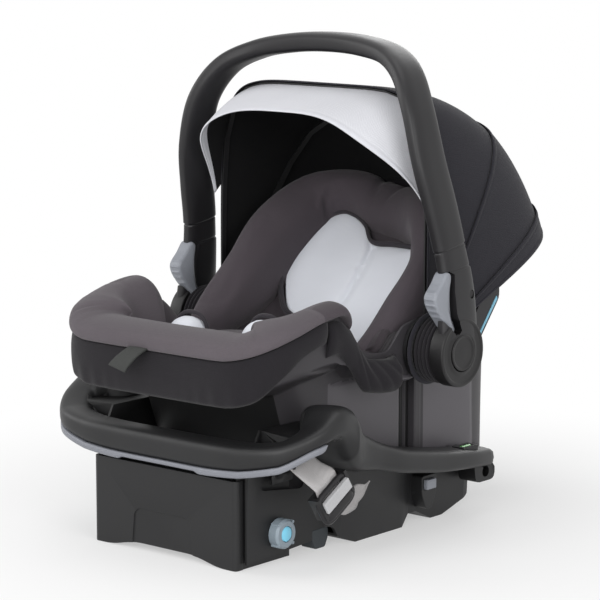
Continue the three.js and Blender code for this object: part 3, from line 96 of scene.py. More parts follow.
# Sizes in millimetres. X runs across the seat, Y from the foot end to the head end, Z up.
TUB_HALF = 129.5
REAR_HALF = TUB_HALF - 2
FRONT_HALF = TUB_HALF - 12.5
RIM_HALF = TUB_HALF + 51.5
PLUG_HALF = TUB_HALF - 9.5
KEEL_HALF = TUB_HALF - 2.5
SEAT_HALF = KEEL_HALF + 31
KEEL_BOTTOM = 66
BUCKET_FLOOR = 138
LINER = 9
PAD_FACE = 20
PIVOT = (21.0, 225.0)
BOSS_R = 34
HOOD_HALF = SEAT_HALF + 11.5
HOOD_RADIUS = 311
HOOD_STEP = 2.4
HUB_R = 41
HUB_BACK = HOOD_HALF + 28.8
HUB_FACE = HUB_BACK + 19.7
GRIP_REACH = HOOD_RADIUS + 44
CAP_R = 21.6

# The rim from the middle of the front to the rail's rear end: x, y, half-depth, underside, top.
RIM = np.array([
    (0, -254, 20, 114, 147), (0.343, -254, 20, 114, 147), (0.652, -252, 20, 117, 148),
    (0.888, -241, 20, 127, 153), (1, -216, 20, 146, 168), (0.994, -188, 26, 152, 187),
    (0.93, -163, 35, 120, 182), (0.884, -132, 31, 102, 156), (0.87, -92, 29, 96, 134),
    (0.87, -36, 29, 83, 114), (0.856, 45, 27, 69, 97), (0.84, 110, 24.5, 62, 87),
    (0.812, 158, 20, 56, 80),
]) * np.array([RIM_HALF, 1, 1, 1, 1])

RIM_HEIGHT = [
    (-265, 243), (-240, 257), (-212, 268), (-172, 280), (-138, 284), (-110, 266), (-78, 233), (-38, 228),
    (0, 256), (40, 262), (110, 290), (190, 345), (244, 392),
]
NOSE_FRONT = [(66, -150), (110, -172), (150, -190), (200, -206)]
SKIN_REAR = [(66, 210), (200, 215), (295, 228), (400, 244)]
SKIN_SQUARE = [(66, 8), (180, 8), (230, 3.6)]
NOSE_SQUARE = [(66, 6), (150, 5), (230, 6.5)]
SIDE_FILL = [(0, 0), (0.09, 0.3), (0.32, 0.46), (0.55, 0.55), (0.75, 0.76), (0.9, 0.97), (1, 1)]
FRONT_FILL = [(0, 0), (0.2, 0.28), (0.55, 0.66), (0.87, 0.9), (1, 1)]
REAR_FILL = [(0, 0), (0.3, 0.25), (0.5, 0.43), (0.75, 0.7), (1, 1)]
RAIL_LINE = [(-186, 192), (-160, 188), (-126, 164), (-92, 141), (-36, 121), (45, 104), (110, 94), (170, 88), (230, 70)]

# Right half of the padded roll, from the hip to the head: share of the seat's half-width, y, z, half-thickness,
# half-height.
ROLL = np.array([
    (0.62, -98, 209, 18, 22), (0.69, -40, 233, 23, 36), (0.705, 20, 267, 27, 50), (0.70, 80, 313, 30, 56),
    (0.60, 147, 349, 32, 52), (0.34, 170, 358, 35, 46), (0, 168, 353, 36, 42),
]) * np.array([SEAT_HALF, 1, 1, 1, 1])

# Right half of the handle's bar: share of the hub's distance out, y, share of the grip's height, half-width,
# half-thickness.
BAR = np.array([
    (1.000, 21, -0.056, 31, 9), (1.000, 22, 0.070, 33, 9.3), (0.983, 24, 0.211, 28.5, 9.8),
    (0.950, 18, 0.352, 26, 10), (0.921, 7, 0.493, 26.5, 10), (0.880, -3.5, 0.634, 27, 10),
    (0.806, -4, 0.797, 25, 10.5), (0.676, 10, 0.910, 23.5, 11), (0.499, 28, 0.966, 22.5, 11.5),
    (0.264, 38, 0.992, 22, 12), (0.000, 41, 1.000, 22, 12),
])
RELEASE = np.array([
    (-22, 97), (-34, 84), (-46, 70), (-44, 59), (-27, 38), (-12, 23), (-7, 27), (-15, 47), (-17, 73), (-15, 93),
]) + np.array(PIVOT)


# ---- Curves and surfaces ----
def lerp(a, b, t):
    return a + (b - a) * t


def smooth(x, low=0.0, high=1.0):
    """Rises from 0 at low to 1 at high as 3 t squared less 2 t cubed."""
    t = np.clip((np.asarray(x, float) - low) / (high - low), 0, 1)
    return t * t * (3 - 2 * t)


def swell(t, softness=1.0):
    """Half a sine wave from 0 to 1, raised to a power; a low power makes it fuller."""
    return np.clip(np.sin(np.pi * np.asarray(t, float)), 0, None) ** softness


def bump(x, middle, width):
    """A bell curve of height 1."""
    return np.exp(-(((np.asarray(x, float) - middle) / width) ** 2))


def table_at(rows, x):
    """A smooth curve through rows of (x, y): a cubic on each span, whose end slopes are harmonic means of the
    slopes on either side, so that it never overshoots."""
    rows = np.asarray(rows, float)
    xs, ys = rows[:, 0], rows[:, 1]
    slope = np.diff(ys) / np.diff(xs)
    before, after = slope[:-1], slope[1:]
    total = np.where(np.abs(before + after) < 1e-12, 1, before + after)
    inner = np.where(before * after <= 0, 0, 2 * before * after / total)
    ends = np.concatenate([slope[:1], inner, slope[-1:]])
    x = np.clip(x, xs[0], xs[-1])
    i = np.clip(np.searchsorted(xs, x, side="right") - 1, 0, len(xs) - 2)
    span = xs[i + 1] - xs[i]
    t = (x - xs[i]) / span
    t2, t3 = t * t, t * t * t
    return ys[i] + (3 * t2 - 2 * t3) * (ys[i + 1] - ys[i]) + (t3 - 2 * t2 + t) * ends[i] * span + (
        t3 - t2
    ) * ends[i + 1] * span


def spline(points, t):
    """A centripetal Catmull-Rom curve through points, as many columns as they have, at t from 0 to 1."""
    points = np.asarray(points, float)
    padded = np.vstack([2 * points[0] - points[1], points, 2 * points[-1] - points[-2]])
    place = np.clip(np.asarray(t, float), 0, 1) * (len(points) - 1)
    i = np.clip(np.floor(place).astype(int), 0, len(points) - 2)
    w = (place - i)[..., None]
    p0, p1, p2, p3 = (padded[i + k] for k in range(4))
    chord = [np.maximum(np.sum((b - a) ** 2, -1, keepdims=True) ** 0.25, 1e-4) for a,
             b in ((p0, p1), (p1, p2), (p2, p3))]
    d0, d1, d2 = chord
    m1 = ((p1 - p0) / d0 - (p2 - p0) / (d0 + d1) + (p2 - p1) / d1) * d1
    m2 = ((p2 - p1) / d1 - (p3 - p1) / (d1 + d2) + (p3 - p2) / d2) * d1
    return p1 + m1 * w + (-3 * p1 + 3 * p2 - 2 * m1 - m2) * w**2 + (2 * p1 - 2 * p2 + m1 + m2) * w**3


def loop_spline(points, count):
    """A closed smooth outline through points, at count even steps of the parameter."""
    points = np.asarray(points, float)
    n = len(points)
    wrapped = np.vstack([points[-3:], points, points[:3]])
    at = (3 + np.arange(count) / count * n) / (n + 5)
    return spline(wrapped, at)


def unit(a):
    return a / np.maximum(np.linalg.norm(a, axis=-1, keepdims=True), 1e-12)


def rounded(turn, squareness):
    """The point of a rounded square at a bearing: the unit circle's point moved out until the sum of the powers
    of its coordinates is 1; squareness 2 is a circle."""
    c, s = np.cos(turn), np.sin(turn)
    reach = (np.abs(c) ** squareness + np.abs(s) ** squareness) ** (-1.0 / squareness)
    return c * reach, s * reach


def power(c, squareness):
    return np.sign(c) * np.abs(c) ** (2.0 / squareness)


def mirrored_rows(rows):
    """A right half's rows with the left half's after them, mirrored across X."""
    back = rows[:-1][::-1].copy()
    back[:, 0] *= -1
    return np.vstack([rows, back])


def normals_of(surface, u, v, du=2e-3, dv=2e-3):
    """Unit normals of surface(u, v): its step along u crossed with its step along v."""
    along_u = surface(u + du, v) - surface(u - du, v)
    along_v = surface(u, v + dv) - surface(u, v - dv)
    return unit(np.cross(along_u, along_v))


def waves(x, y, z, seed, scale):
    """Smooth wandering values between about -1 and 1: a sum of sine waves in fixed directions."""
    total = 0
    for k in range(6):
        angle = seed * 1.7 + k * 2.4
        rise = math.sin(seed * 0.9 + k * 1.3)
        direction = (math.cos(angle), math.sin(angle), rise)
        pitch = scale * (1 + 0.37 * k)
        phase = seed * 3.1 + k * k * 1.1
        total = total + np.sin((x * direction[0] + y * direction[1] + z * direction[2]) / pitch + phase) / (1 + 0.5 * k)
    return total / 3


# ---- Meshes from grids ----
def arc_lengths(points, axis):
    """Running length along an axis of a grid, the same for all the lines across it, in metres."""
    steps = np.linalg.norm(np.diff(points, axis=axis), axis=-1).mean(axis=1 - axis) / 1000
    return np.concatenate([[0], np.cumsum(steps)])


def add_mesh(name, verts, faces, uvs=None, smooth_faces=True):
    """An object at the origin with its place in its mesh, from points in millimetres."""
    mesh = bpy.data.meshes.new(name)
    mesh.from_pydata((np.asarray(verts, float) / 1000).tolist(), [], [f for group in faces for f in group.tolist()])
    mesh.polygons.foreach_set("use_smooth", np.full(len(mesh.polygons), smooth_faces))
    if uvs is not None:
        layer = mesh.uv_layers.new(name="cloth")
        layer.data.foreach_set("uv", np.concatenate([u.reshape(-1) for u in uvs]).astype(np.float32))
    mesh.update()
    made = bpy.data.objects.new(name, mesh)
    bpy.context.scene.collection.objects.link(made)
    return made


def grid_object(name, points, ring=False, tube=False, poles=(False, False), flip=False):
    """A surface through a grid of points (rows, columns, 3). ring joins the last column to the first, tube the
    last row to the first, and poles close the first and last rows over their middles."""
    rows, columns = points.shape[:2]
    j, i = np.meshgrid(np.arange(rows if tube else rows - 1), np.arange(columns if ring else columns - 1),
                       indexing="ij")
    j, i = j.ravel(), i.ravel()
    jn, inn = (j + 1) % rows, (i + 1) % columns
    quads = np.stack([j * columns + i, j * columns + inn, jn * columns + inn, jn * columns + i], -1)
    closed = np.concatenate([points, points[:, :1]], 1) if ring else points
    closed = np.concatenate([closed, closed[:1]], 0) if tube else closed
    u, v = arc_lengths(closed, 1), arc_lengths(closed, 0)
    quad_uv = np.stack([
        np.stack([u[i], v[j]], -1), np.stack([u[i + 1], v[j]], -1),
        np.stack([u[i + 1], v[j + 1]], -1), np.stack([u[i], v[j + 1]], -1),
    ], 1)
    verts = points.reshape(-1, 3)
    faces, uvs = [quads], [quad_uv]
    for end, wanted in enumerate(poles):
        if not wanted:
            continue
        row = (rows - 1) * end
        centre = len(verts)
        verts = np.vstack([verts, points[row].mean(0)])
        k = np.arange(columns)
        kn = (k + 1) % columns
        pair_of = (row * columns + k, row * columns + kn)
        first, second = pair_of if end else pair_of[::-1]
        fan = np.stack([first, second, np.full(columns, centre)], -1)
        faces.append(fan)
        uvs.append(np.zeros((columns, 3, 2)) + v[row] + np.stack([k, kn, k], -1)[..., None] * 1e-4)
    if flip:
        faces = [f[:, ::-1] for f in faces]
        uvs = [u_[:, ::-1] for u_ in uvs]
    return add_mesh(name, verts, faces, uvs)


def facing_out(made):
    """Turns all faces of a closed surface outwards."""
    bm = bmesh.new()
    bm.from_mesh(made.data)
    bmesh.ops.remove_doubles(bm, verts=bm.verts, dist=1e-7)
    bmesh.ops.recalc_face_normals(bm, faces=bm.faces)
    bm.to_mesh(made.data)
    bm.free()
    return made


def closed_sheet(name, top, under, rim=2, ring=False):
    """A closed cloth from two faces of one grid: down one face, round a rolled edge, and back on the other.
    ring says that the columns close on themselves; without it the two side edges close as well."""
    middle = (top[-1] + under[-1]) / 2
    out = unit(top[-1] - top[-2])
    roll = np.linalg.norm(top[-1] - under[-1], axis=-1, keepdims=True) / 2
    if ring:
        edge = [middle + (top[-1] - middle) * math.cos(a) + out * roll * math.sin(a)
                for a in np.linspace(0, math.pi, rim + 2)[1:-1]]
        return grid_object(name, np.concatenate([top, np.array(edge).reshape(-1, *top.shape[1:]), under[::-1]]),
                           ring=True, poles=(True, True))
    loop = np.concatenate([top, under[:, ::-1]], axis=1)
    made = grid_object(name, loop, ring=True)
    mesh = made.data
    bm = bmesh.new()
    bm.from_mesh(mesh)
    columns = top.shape[1]
    bm.verts.ensure_lookup_table()
    for row in (0, top.shape[0] - 1):
        base = row * 2 * columns
        for k in range(columns - 1):
            bm.faces.new([bm.verts[base + n] for n in (k, k + 1, 2 * columns - 2 - k, 2 * columns - 1 - k)])
    for face in bm.faces:
        face.smooth = True
    bmesh.ops.recalc_face_normals(bm, faces=bm.faces)
    bm.to_mesh(mesh)
    bm.free()
    return made


def swept(name, path, section, up_hint, taper=None, ring=True, poles=(True, True)):
    """A profile carried along a path: at each station the profile's first coordinate lies along the side, square
    to the path and the hint, and its second along the path's own up. taper scales each station."""
    ahead = unit(np.gradient(path, axis=0))
    up = np.broadcast_to(np.asarray(up_hint, float), path.shape)
    up = unit(up - ahead * np.sum(up * ahead, -1, keepdims=True))
    side = np.cross(ahead, up)
    section = np.asarray(section, float)
    if section.ndim == 2:
        section = np.broadcast_to(section, (len(path), *section.shape))
    scale = np.ones(len(path)) if taper is None else taper
    points = (path[:, None] + side[:, None] * section[..., :1] * scale[:, None, None]
              + up[:, None] * section[..., 1:] * scale[:, None, None])
    return facing_out(grid_object(name, points, ring=ring, poles=poles))


def circle(radius, count=12):
    turn = np.arange(count) / count * 2 * np.pi
    return np.stack([np.cos(turn), np.sin(turn)], -1) * radius


def piping(name, path, radius=1.4, closed=False):
    """A thin round cord sewn along a seam; closed joins its ends."""
    if closed:
        ahead = unit(np.roll(path, -1, 0) - np.roll(path, 1, 0))
        up = np.array([0.3, -0.5, 0.8])
        up = unit(up - ahead * np.sum(up * ahead, -1, keepdims=True))
        side = np.cross(ahead, up)
        c = circle(radius, 8)
        points = path[:, None] + side[:, None] * c[None, :, :1] + up[:, None] * c[None, :, 1:]
        return facing_out(grid_object(name, points, ring=True, tube=True))
    return swept(name, path, circle(radius, 8), (0.3, -0.5, 0.8))


def joined(name, parts):
    """Several surfaces as one object, with the materials of them all."""
    bm = bmesh.new()
    slots = []
    for part in parts:
        copy = part.data.copy()
        place = []
        for material in part.data.materials:
            if material not in slots:
                slots.append(material)
            place.append(slots.index(material))
        if place:
            index = np.zeros(len(copy.polygons), int)
            copy.polygons.foreach_get("material_index", index)
            copy.polygons.foreach_set("material_index", np.array(place)[index])
        bm.from_mesh(copy)
        bpy.data.meshes.remove(copy)
    mesh = bpy.data.meshes.new(name)
    bm.to_mesh(mesh)
    bm.free()
    for part in parts:
        old = part.data
        bpy.data.objects.remove(part)
        bpy.data.meshes.remove(old)
    for material in slots:
        mesh.materials.append(material)
    made = bpy.data.objects.new(name, mesh)
    bpy.context.scene.collection.objects.link(made)
    return made


def baked(made):
    """The object's modifiers put into its mesh."""
    depsgraph = bpy.context.evaluated_depsgraph_get()
    mesh = bpy.data.meshes.new_from_object(made.evaluated_get(depsgraph), depsgraph=depsgraph)
    made.modifiers.clear()
    old = made.data
    made.data = mesh
    bpy.data.meshes.remove(old)
    return made


def subdivided(made, levels=1):
    modifier = made.modifiers.new("Subdivision", "SUBSURF")
    modifier.levels = levels
    modifier.render_levels = levels
    return made


def points_of(made):
    flat = np.empty(len(made.data.vertices) * 3)
    made.data.vertices.foreach_get("co", flat)
    return flat.reshape(-1, 3) * 1000


def set_points(made, points):
    made.data.vertices.foreach_set("co", (points / 1000).ravel())
    made.data.update()


def puffed(made, voxel, cap, pressure=4.0):
    """Padding: an even remesh, then cloth under air pressure for 20 frames, each point kept within cap of
    its start, and the surface relaxed."""
    remesh = made.modifiers.new("Remesh", "REMESH")
    remesh.mode = "VOXEL"
    remesh.voxel_size = voxel / 1000
    remesh.use_smooth_shade = True
    baked(made)
    relax = made.modifiers.new("Relax", "SMOOTH")
    relax.iterations = 6
    relax.factor = 0.5
    baked(made)
    start = points_of(made)
    cloth = made.modifiers.new("Cloth", "CLOTH")
    settings = cloth.settings
    settings.use_pressure = True
    settings.uniform_pressure_force = pressure
    settings.effector_weights.gravity = 0
    settings.tension_stiffness = 20
    settings.compression_stiffness = 20
    settings.bending_stiffness = 2
    settings.quality = 4
    cloth.collision_settings.use_collision = False
    cloth.point_cache.frame_start = 1
    cloth.point_cache.frame_end = 20
    scene = bpy.context.scene
    for step in range(1, 21):
        scene.frame_set(step)
    depsgraph = bpy.context.evaluated_depsgraph_get()
    after = made.evaluated_get(depsgraph).to_mesh()
    flat = np.empty(len(after.vertices) * 3)
    after.vertices.foreach_get("co", flat)
    made.evaluated_get(depsgraph).to_mesh_clear()
    made.modifiers.clear()
    scene.frame_set(1)
    move = flat.reshape(-1, 3) * 1000 - start
    length = np.linalg.norm(move, axis=1, keepdims=True)
    move *= np.minimum(1, cap / np.maximum(length, 1e-6))
    set_points(made, start + np.nan_to_num(move))
    return made


# ---- Finishes ----
def srgb(r, g, b):
    """A colour written as 0 to 255 per channel, in the linear values that materials hold."""
    parts = np.array([r, g, b]) / 255
    return tuple(np.where(parts <= 0.04045, parts / 12.92, ((parts + 0.055) / 1.055) ** 2.4).tolist())


def new_group(name, inputs, outputs):
    group = bpy.data.node_groups.new(name, "ShaderNodeTree")
    for label, kind, value in inputs:
        socket = group.interface.new_socket(name=label, in_out="INPUT", socket_type=kind)
        socket.default_value = value
    for label, kind in outputs:
        group.interface.new_socket(name=label, in_out="OUTPUT", socket_type=kind)
    return group, group.nodes.new("NodeGroupInput"), group.nodes.new("NodeGroupOutput")


def put(tree, kind, links=(), **values):
    """A node with its settings and inputs filled in; links are (input name or number, socket)."""
    node = tree.nodes.new(kind)
    for key, value in values.items():
        setattr(node, key, value)
    for where, what in links:
        if hasattr(what, "is_output"):
            tree.links.new(what, node.inputs[where])
        else:
            node.inputs[where].default_value = what
    return node


def maths(tree, operation, a, b=0.0, c=0.0, clamp=False):
    links = [(k, v) for k, v in enumerate((a, b, c))]
    return put(tree, "ShaderNodeMath", links, operation=operation, use_clamp=clamp).outputs[0]


def blend_colour(tree, share, first, second, how="MIX"):
    node = put(tree, "ShaderNodeMix", data_type="RGBA", blend_type=how)
    for where, what in ((0, share), (6, first), (7, second)):
        if hasattr(what, "is_output"):
            tree.links.new(what, node.inputs[where])
        else:
            node.inputs[where].default_value = what
    return node.outputs[2]


def noise(tree, vector, scale, detail=2.0, roughness=0.5):
    return put(tree, "ShaderNodeTexNoise",
               [("Vector", vector), ("Scale", scale), ("Detail", detail), ("Roughness", roughness)]).outputs[0]


COLOUR, VALUE = "NodeSocketColor", "NodeSocketFloat"


def moulded_group():
    """Moulded plastic: a fine spark-eroded grain, faint flow clouds, and pale rub marks."""
    group, into, out = new_group(
        "Moulded grain",
        [("Colour", COLOUR, (0.05, 0.05, 0.05, 1)), ("Roughness", VALUE, 0.5), ("Grain", VALUE, 900.0),
         ("Rub", VALUE, 0.15)],
        [("Colour", COLOUR), ("Roughness", VALUE), ("Height", VALUE)],
    )
    place = put(group, "ShaderNodeTexCoord").outputs["Object"]
    grain = noise(group, place, into.outputs["Grain"], 2.0)
    clouds = noise(group, place, 11.0, 3.0)
    stretched = put(group, "ShaderNodeMapping", [("Vector", place), ("Scale", (1.0, 3.0, 0.35))]).outputs[0]
    streaks = noise(group, stretched, 140.0, 6.0, 0.7)
    marks = maths(group, "MULTIPLY", maths(group, "SUBTRACT", streaks, 0.64), 6.0, clamp=True)
    marks = maths(group, "MULTIPLY", marks, into.outputs["Rub"])
    deep = blend_colour(group, 1.0, into.outputs["Colour"], (0.8, 0.8, 0.8, 1), "MULTIPLY")
    toned = blend_colour(group, clouds, deep, into.outputs["Colour"])
    flecks = blend_colour(group, grain, toned, (1.35, 1.35, 1.35, 1), "MULTIPLY")
    lighter = blend_colour(group, 1.0, flecks, (0.07, 0.07, 0.072, 1), "ADD")
    worn = blend_colour(group, marks, flecks, lighter)
    softness = maths(group, "ADD", into.outputs["Roughness"],
                     maths(group, "MULTIPLY", maths(group, "SUBTRACT", clouds, 0.5), 0.22))
    softness = maths(group, "ADD", softness, maths(group, "MULTIPLY", grain, 0.06))
    group.links.new(worn, out.inputs["Colour"])
    group.links.new(softness, out.inputs["Roughness"])
    group.links.new(grain, out.inputs["Height"])
    return group


def cloth_group():
    """Knitted cloth: rows of small loops from three crossed sine waves, thread-to-thread colour changes, and
    broad soft shading where it has been handled."""
    group, into, out = new_group(
        "Knitted cloth",
        [("Colour", COLOUR, (0.08, 0.07, 0.08, 1)), ("Thread", COLOUR, (0.12, 0.11, 0.12, 1)),
         ("Loops", VALUE, 4200.0), ("Mottle", VALUE, 0.5)],
        [("Colour", COLOUR), ("Roughness", VALUE), ("Height", VALUE)],
    )
    place = put(group, "ShaderNodeTexCoord").outputs["Object"]
    bent = noise(group, place, 35.0, 2.0)
    x, y, z = put(group, "ShaderNodeSeparateXYZ", [(0, place)]).outputs
    wander = maths(group, "MULTIPLY", bent, 0.004)
    phase = [maths(group, "MULTIPLY", maths(group, "ADD", side, wander), into.outputs["Loops"]) for side in (x, y, z)]
    sines = [maths(group, "SINE", p) for p in phase]
    cosines = [maths(group, "COSINE", p) for p in phase]
    parts = [maths(group, "MULTIPLY", sines[k], cosines[(k + 1) % 3]) for k in range(3)]
    loops = maths(group, "ADD", maths(group, "ADD", parts[0], parts[1]), parts[2])
    height = maths(group, "MULTIPLY_ADD", loops, 0.35, 0.5, clamp=True)
    fibre = noise(group, place, 2600.0, 3.0, 0.7)
    mottle = noise(group, place, 420.0, 4.0, 0.65)
    broad = noise(group, place, 9.0, 3.0)
    share = maths(group, "MULTIPLY", maths(group, "ADD", maths(group, "MULTIPLY", height, 0.5), mottle),
                  into.outputs["Mottle"])
    base = blend_colour(group, share, into.outputs["Colour"], into.outputs["Thread"])
    shade = blend_colour(group, 1.0, base, (0.82, 0.82, 0.82, 1), "MULTIPLY")
    toned = blend_colour(group, broad, shade, base)
    group.links.new(toned, out.inputs["Colour"])
    group.links.new(maths(group, "MULTIPLY_ADD", fibre, 0.16, 0.78), out.inputs["Roughness"])
    group.links.new(maths(group, "MULTIPLY_ADD", fibre, 0.5, height), out.inputs["Height"])
    return group


def webbing_group():
    """Woven strap: slanting ribs across the tape, mirrored about its middle, over fine threads along it."""
    group, into, out = new_group(
        "Woven strap",
        [("Colour", COLOUR, (0.4, 0.4, 0.4, 1)), ("Width", VALUE, 0.036)],
        [("Colour", COLOUR), ("Roughness", VALUE), ("Height", VALUE)],
    )
    place = put(group, "ShaderNodeUVMap", uv_map="cloth").outputs[0]
    u, v, _ = put(group, "ShaderNodeSeparateXYZ", [(0, place)]).outputs
    middle = maths(group, "ABSOLUTE", maths(group, "SUBTRACT", u, maths(group, "MULTIPLY", into.outputs["Width"], 0.5)))
    slant = maths(group, "MULTIPLY", maths(group, "ADD", maths(group, "MULTIPLY", middle, 0.8), v), 3600.0)
    ribs = maths(group, "MULTIPLY_ADD", maths(group, "SINE", slant), 0.5, 0.5)
    warp = maths(group, "MULTIPLY_ADD", maths(group, "SINE", maths(group, "MULTIPLY", u, 5200.0)), 0.25, 0.5)
    height = maths(group, "MULTIPLY", ribs, maths(group, "ADD", warp, 0.4))
    dark = blend_colour(group, 1.0, into.outputs["Colour"], (0.5, 0.5, 0.5, 1), "MULTIPLY")
    group.links.new(blend_colour(group, height, dark, into.outputs["Colour"]), out.inputs["Colour"])
    group.links.new(maths(group, "MULTIPLY_ADD", height, -0.15, 0.85), out.inputs["Roughness"])
    group.links.new(height, out.inputs["Height"])
    return group


def metal_group():
    """Drawn steel: fine lines along X and a broad tarnish."""
    group, into, out = new_group(
        "Drawn steel",
        [("Colour", COLOUR, (0.55, 0.56, 0.58, 1))],
        [("Colour", COLOUR), ("Roughness", VALUE), ("Height", VALUE)],
    )
    place = put(group, "ShaderNodeTexCoord").outputs["Object"]
    lines_at = put(group, "ShaderNodeMapping", [("Vector", place), ("Scale", (0.03, 1.0, 1.0))]).outputs[0]
    lines = noise(group, lines_at, 2400.0, 3.0)
    tarnish = noise(group, place, 50.0, 4.0)
    dark = blend_colour(group, 1.0, into.outputs["Colour"], (0.6, 0.6, 0.6, 1), "MULTIPLY")
    group.links.new(blend_colour(group, tarnish, dark, into.outputs["Colour"]), out.inputs["Colour"])
    group.links.new(maths(group, "MULTIPLY_ADD", lines, 0.2, 0.22), out.inputs["Roughness"])
    group.links.new(lines, out.inputs["Height"])
    return group


GROUPS = {}
FINISHES = {}


def finish(name, group, values, relief, settings=()):
    """A material: one node group's colour, roughness and height into a Principled shader."""
    material = bpy.data.materials.new(name)
    material.use_nodes = True
    tree = material.node_tree
    tree.nodes.clear()
    shader = put(tree, "ShaderNodeBsdfPrincipled")
    target = put(tree, "ShaderNodeOutputMaterial", [("Surface", shader.outputs[0])])
    target.location.x = 400
    pattern = put(tree, "ShaderNodeGroup", node_tree=GROUPS[group])
    for label, value in values.items():
        pattern.inputs[label].default_value = (*value, 1) if hasattr(value, "__len__") else value
    tree.links.new(pattern.outputs["Colour"], shader.inputs["Base Color"])
    tree.links.new(pattern.outputs["Roughness"], shader.inputs["Roughness"])
    raised = put(tree, "ShaderNodeBump",
                 [("Height", pattern.outputs["Height"]), ("Strength", relief[0]), ("Distance", relief[1])])
    tree.links.new(raised.outputs[0], shader.inputs["Normal"])
    for label, value in dict(settings).items():
        shader.inputs[label].default_value = value
    material.diffuse_color = (*tuple(values["Colour"]), 1)
    FINISHES[name] = material
    return material


def make_finishes():
    look = bpy.context.scene.car_seat
    GROUPS.update(moulded=moulded_group(), cloth=cloth_group(), webbing=webbing_group(), metal=metal_group())

    def plastic(name, colour, roughness=0.5, rub=0.12, grain=900.0, depth=0.00006, coat=0.0):
        finish(name, "moulded", {"Colour": colour, "Roughness": roughness, "Grain": grain, "Rub": rub},
               (0.5, depth), {"Coat Weight": coat, "Coat Roughness": 0.3, "Specular IOR Level": 0.36})

    plastic("Base plastic", look.base_colour, 0.42)
    # Near-black painted shade for recesses where shade falls: the base's well, the shell's side channel and the shell's
    # nose under the flange.
    plastic("Painted shade plastic", srgb(9, 9, 10), 0.5)
    plastic("Carrier shell plastic", look.shell_colour, 0.46)
    plastic("Side panel plastic", tuple(2.0 * c for c in look.shell_colour), 0.4)
    plastic("Rear panel plastic", tuple(2.5 * c for c in look.shell_colour), 0.4)
    plastic("Handle plastic", look.handle_colour, 0.4, 0.08, 1400.0, 0.00003)
    plastic("Hub plastic", srgb(20, 19, 20), 0.42, 0.1, 1200.0, 0.00004)
    plastic("Trim plastic", look.trim_colour, 0.42, 0.05, 1500.0, 0.00003)
    plastic("Button plastic", srgb(132, 135, 142), 0.4, 0.05, 1500.0, 0.00003)
    plastic("Knob plastic", srgb(134, 146, 155), 0.4, 0.05, 1500.0, 0.00003, 0.2)
    plastic("Blue plastic", look.accent_colour, 0.32, 0.03, 1500.0, 0.00002, 0.3)
    plastic("Line plastic", srgb(128, 188, 212), 0.35, 0.03, 1500.0, 0.00002, 0.2)
    plastic("Pale plastic", srgb(178, 178, 180), 0.42, 0.05, 1300.0, 0.00003)
    plastic("Slate plastic", srgb(56, 60, 63), 0.6, 0.1)
    plastic("Plate plastic", srgb(34, 33, 35), 0.45, 0.1)
    plastic("Vial", srgb(98, 176, 92), 0.12, 0.0, 400.0, 0.00001, 0.8)
    plastic("Foam", srgb(62, 60, 62), 0.95, 0.0, 500.0, 0.0004)
    finish("Steel", "metal", {"Colour": srgb(176, 179, 183)}, (0.3, 0.00003), {"Metallic": 1.0})

    def cloth(name, colour, thread, loops=4200.0, mottle=0.4, depth=0.00022, sheen=0.12):
        finish(name, "cloth", {"Colour": colour, "Thread": thread, "Loops": loops, "Mottle": mottle},
               (0.55, depth), {"Sheen Weight": sheen, "Sheen Roughness": 0.5, "Specular IOR Level": 0.12})

    cloth("Taupe cloth", look.cover_colour, srgb(104, 98, 102))
    cloth("Roll cloth", look.roll_colour, srgb(88, 81, 86))
    cloth("Pad cloth", srgb(58, 53, 57), srgb(76, 70, 74))
    cloth("Black cloth", look.skirt_colour, srgb(44, 42, 46), 3600.0)
    cloth("Canopy cloth", look.canopy_colour, srgb(52, 51, 58), 3000.0, 0.4, 0.00025)
    cloth("Canopy lining", srgb(20, 20, 21), srgb(30, 30, 31), 3600.0, 0.4, 0.0002, 0.02)
    cloth("Pale cloth", look.insert_colour, srgb(238, 240, 246), 4600.0, 0.4, 0.00012, 0.05)
    cloth("Visor cloth", srgb(214, 215, 221), srgb(232, 232, 236), 3000.0, 0.4, 0.00018, 0.05)
    cloth("Piping cloth", srgb(52, 49, 54), srgb(68, 64, 68), 5200.0, 0.4, 0.0001)
    finish("Grey webbing", "webbing", {"Colour": srgb(206, 203, 203), "Width": 0.036}, (0.7, 0.0004))
    finish("Black webbing", "webbing", {"Colour": srgb(50, 52, 50), "Width": 0.028}, (0.7, 0.0004))
    finish("Tail webbing", "webbing", {"Colour": srgb(196, 193, 193), "Width": 0.029}, (0.7, 0.0004))


def body_of(node):
    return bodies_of(frame["nodes"][node])[0]


def settle(made, nodes, finishes, body=None):
    """Gives a piece its finishes, the nodes that it stands for and the body that it rides on."""
    finishes = [finishes] if isinstance(finishes, str) else list(finishes)
    if not made.data.materials:
        for name in finishes:
            made.data.materials.append(FINISHES[name])
    nodes = [nodes] if isinstance(nodes, str) else list(nodes)
    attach(made, body or body_of(nodes[0]))
    if nodes:
        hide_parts(*nodes)
    return made


# ---- Rigid pieces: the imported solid, welded, with its sharp edges eased ----
def welded(node, name, change=None):
    mesh = frame["nodes"][node].data.copy()
    mesh.name = name
    mesh.materials.clear()
    bm = bmesh.new()
    bm.from_mesh(mesh)
    bmesh.ops.remove_doubles(bm, verts=bm.verts, dist=2e-6)
    bm.to_mesh(mesh)
    bm.free()
    made = bpy.data.objects.new(name, mesh)
    bpy.context.scene.collection.objects.link(made)
    if change is not None:
        set_points(made, change(points_of(made)))
    bm = bmesh.new()
    bm.from_mesh(mesh)
    bmesh.ops.dissolve_limit(bm, angle_limit=math.radians(0.6), verts=bm.verts, edges=bm.edges)
    bm.to_mesh(mesh)
    bm.free()
    mesh.polygons.foreach_set("use_smooth", np.ones(len(mesh.polygons), bool))
    mesh.set_sharp_from_angle(angle=math.radians(32))
    return made


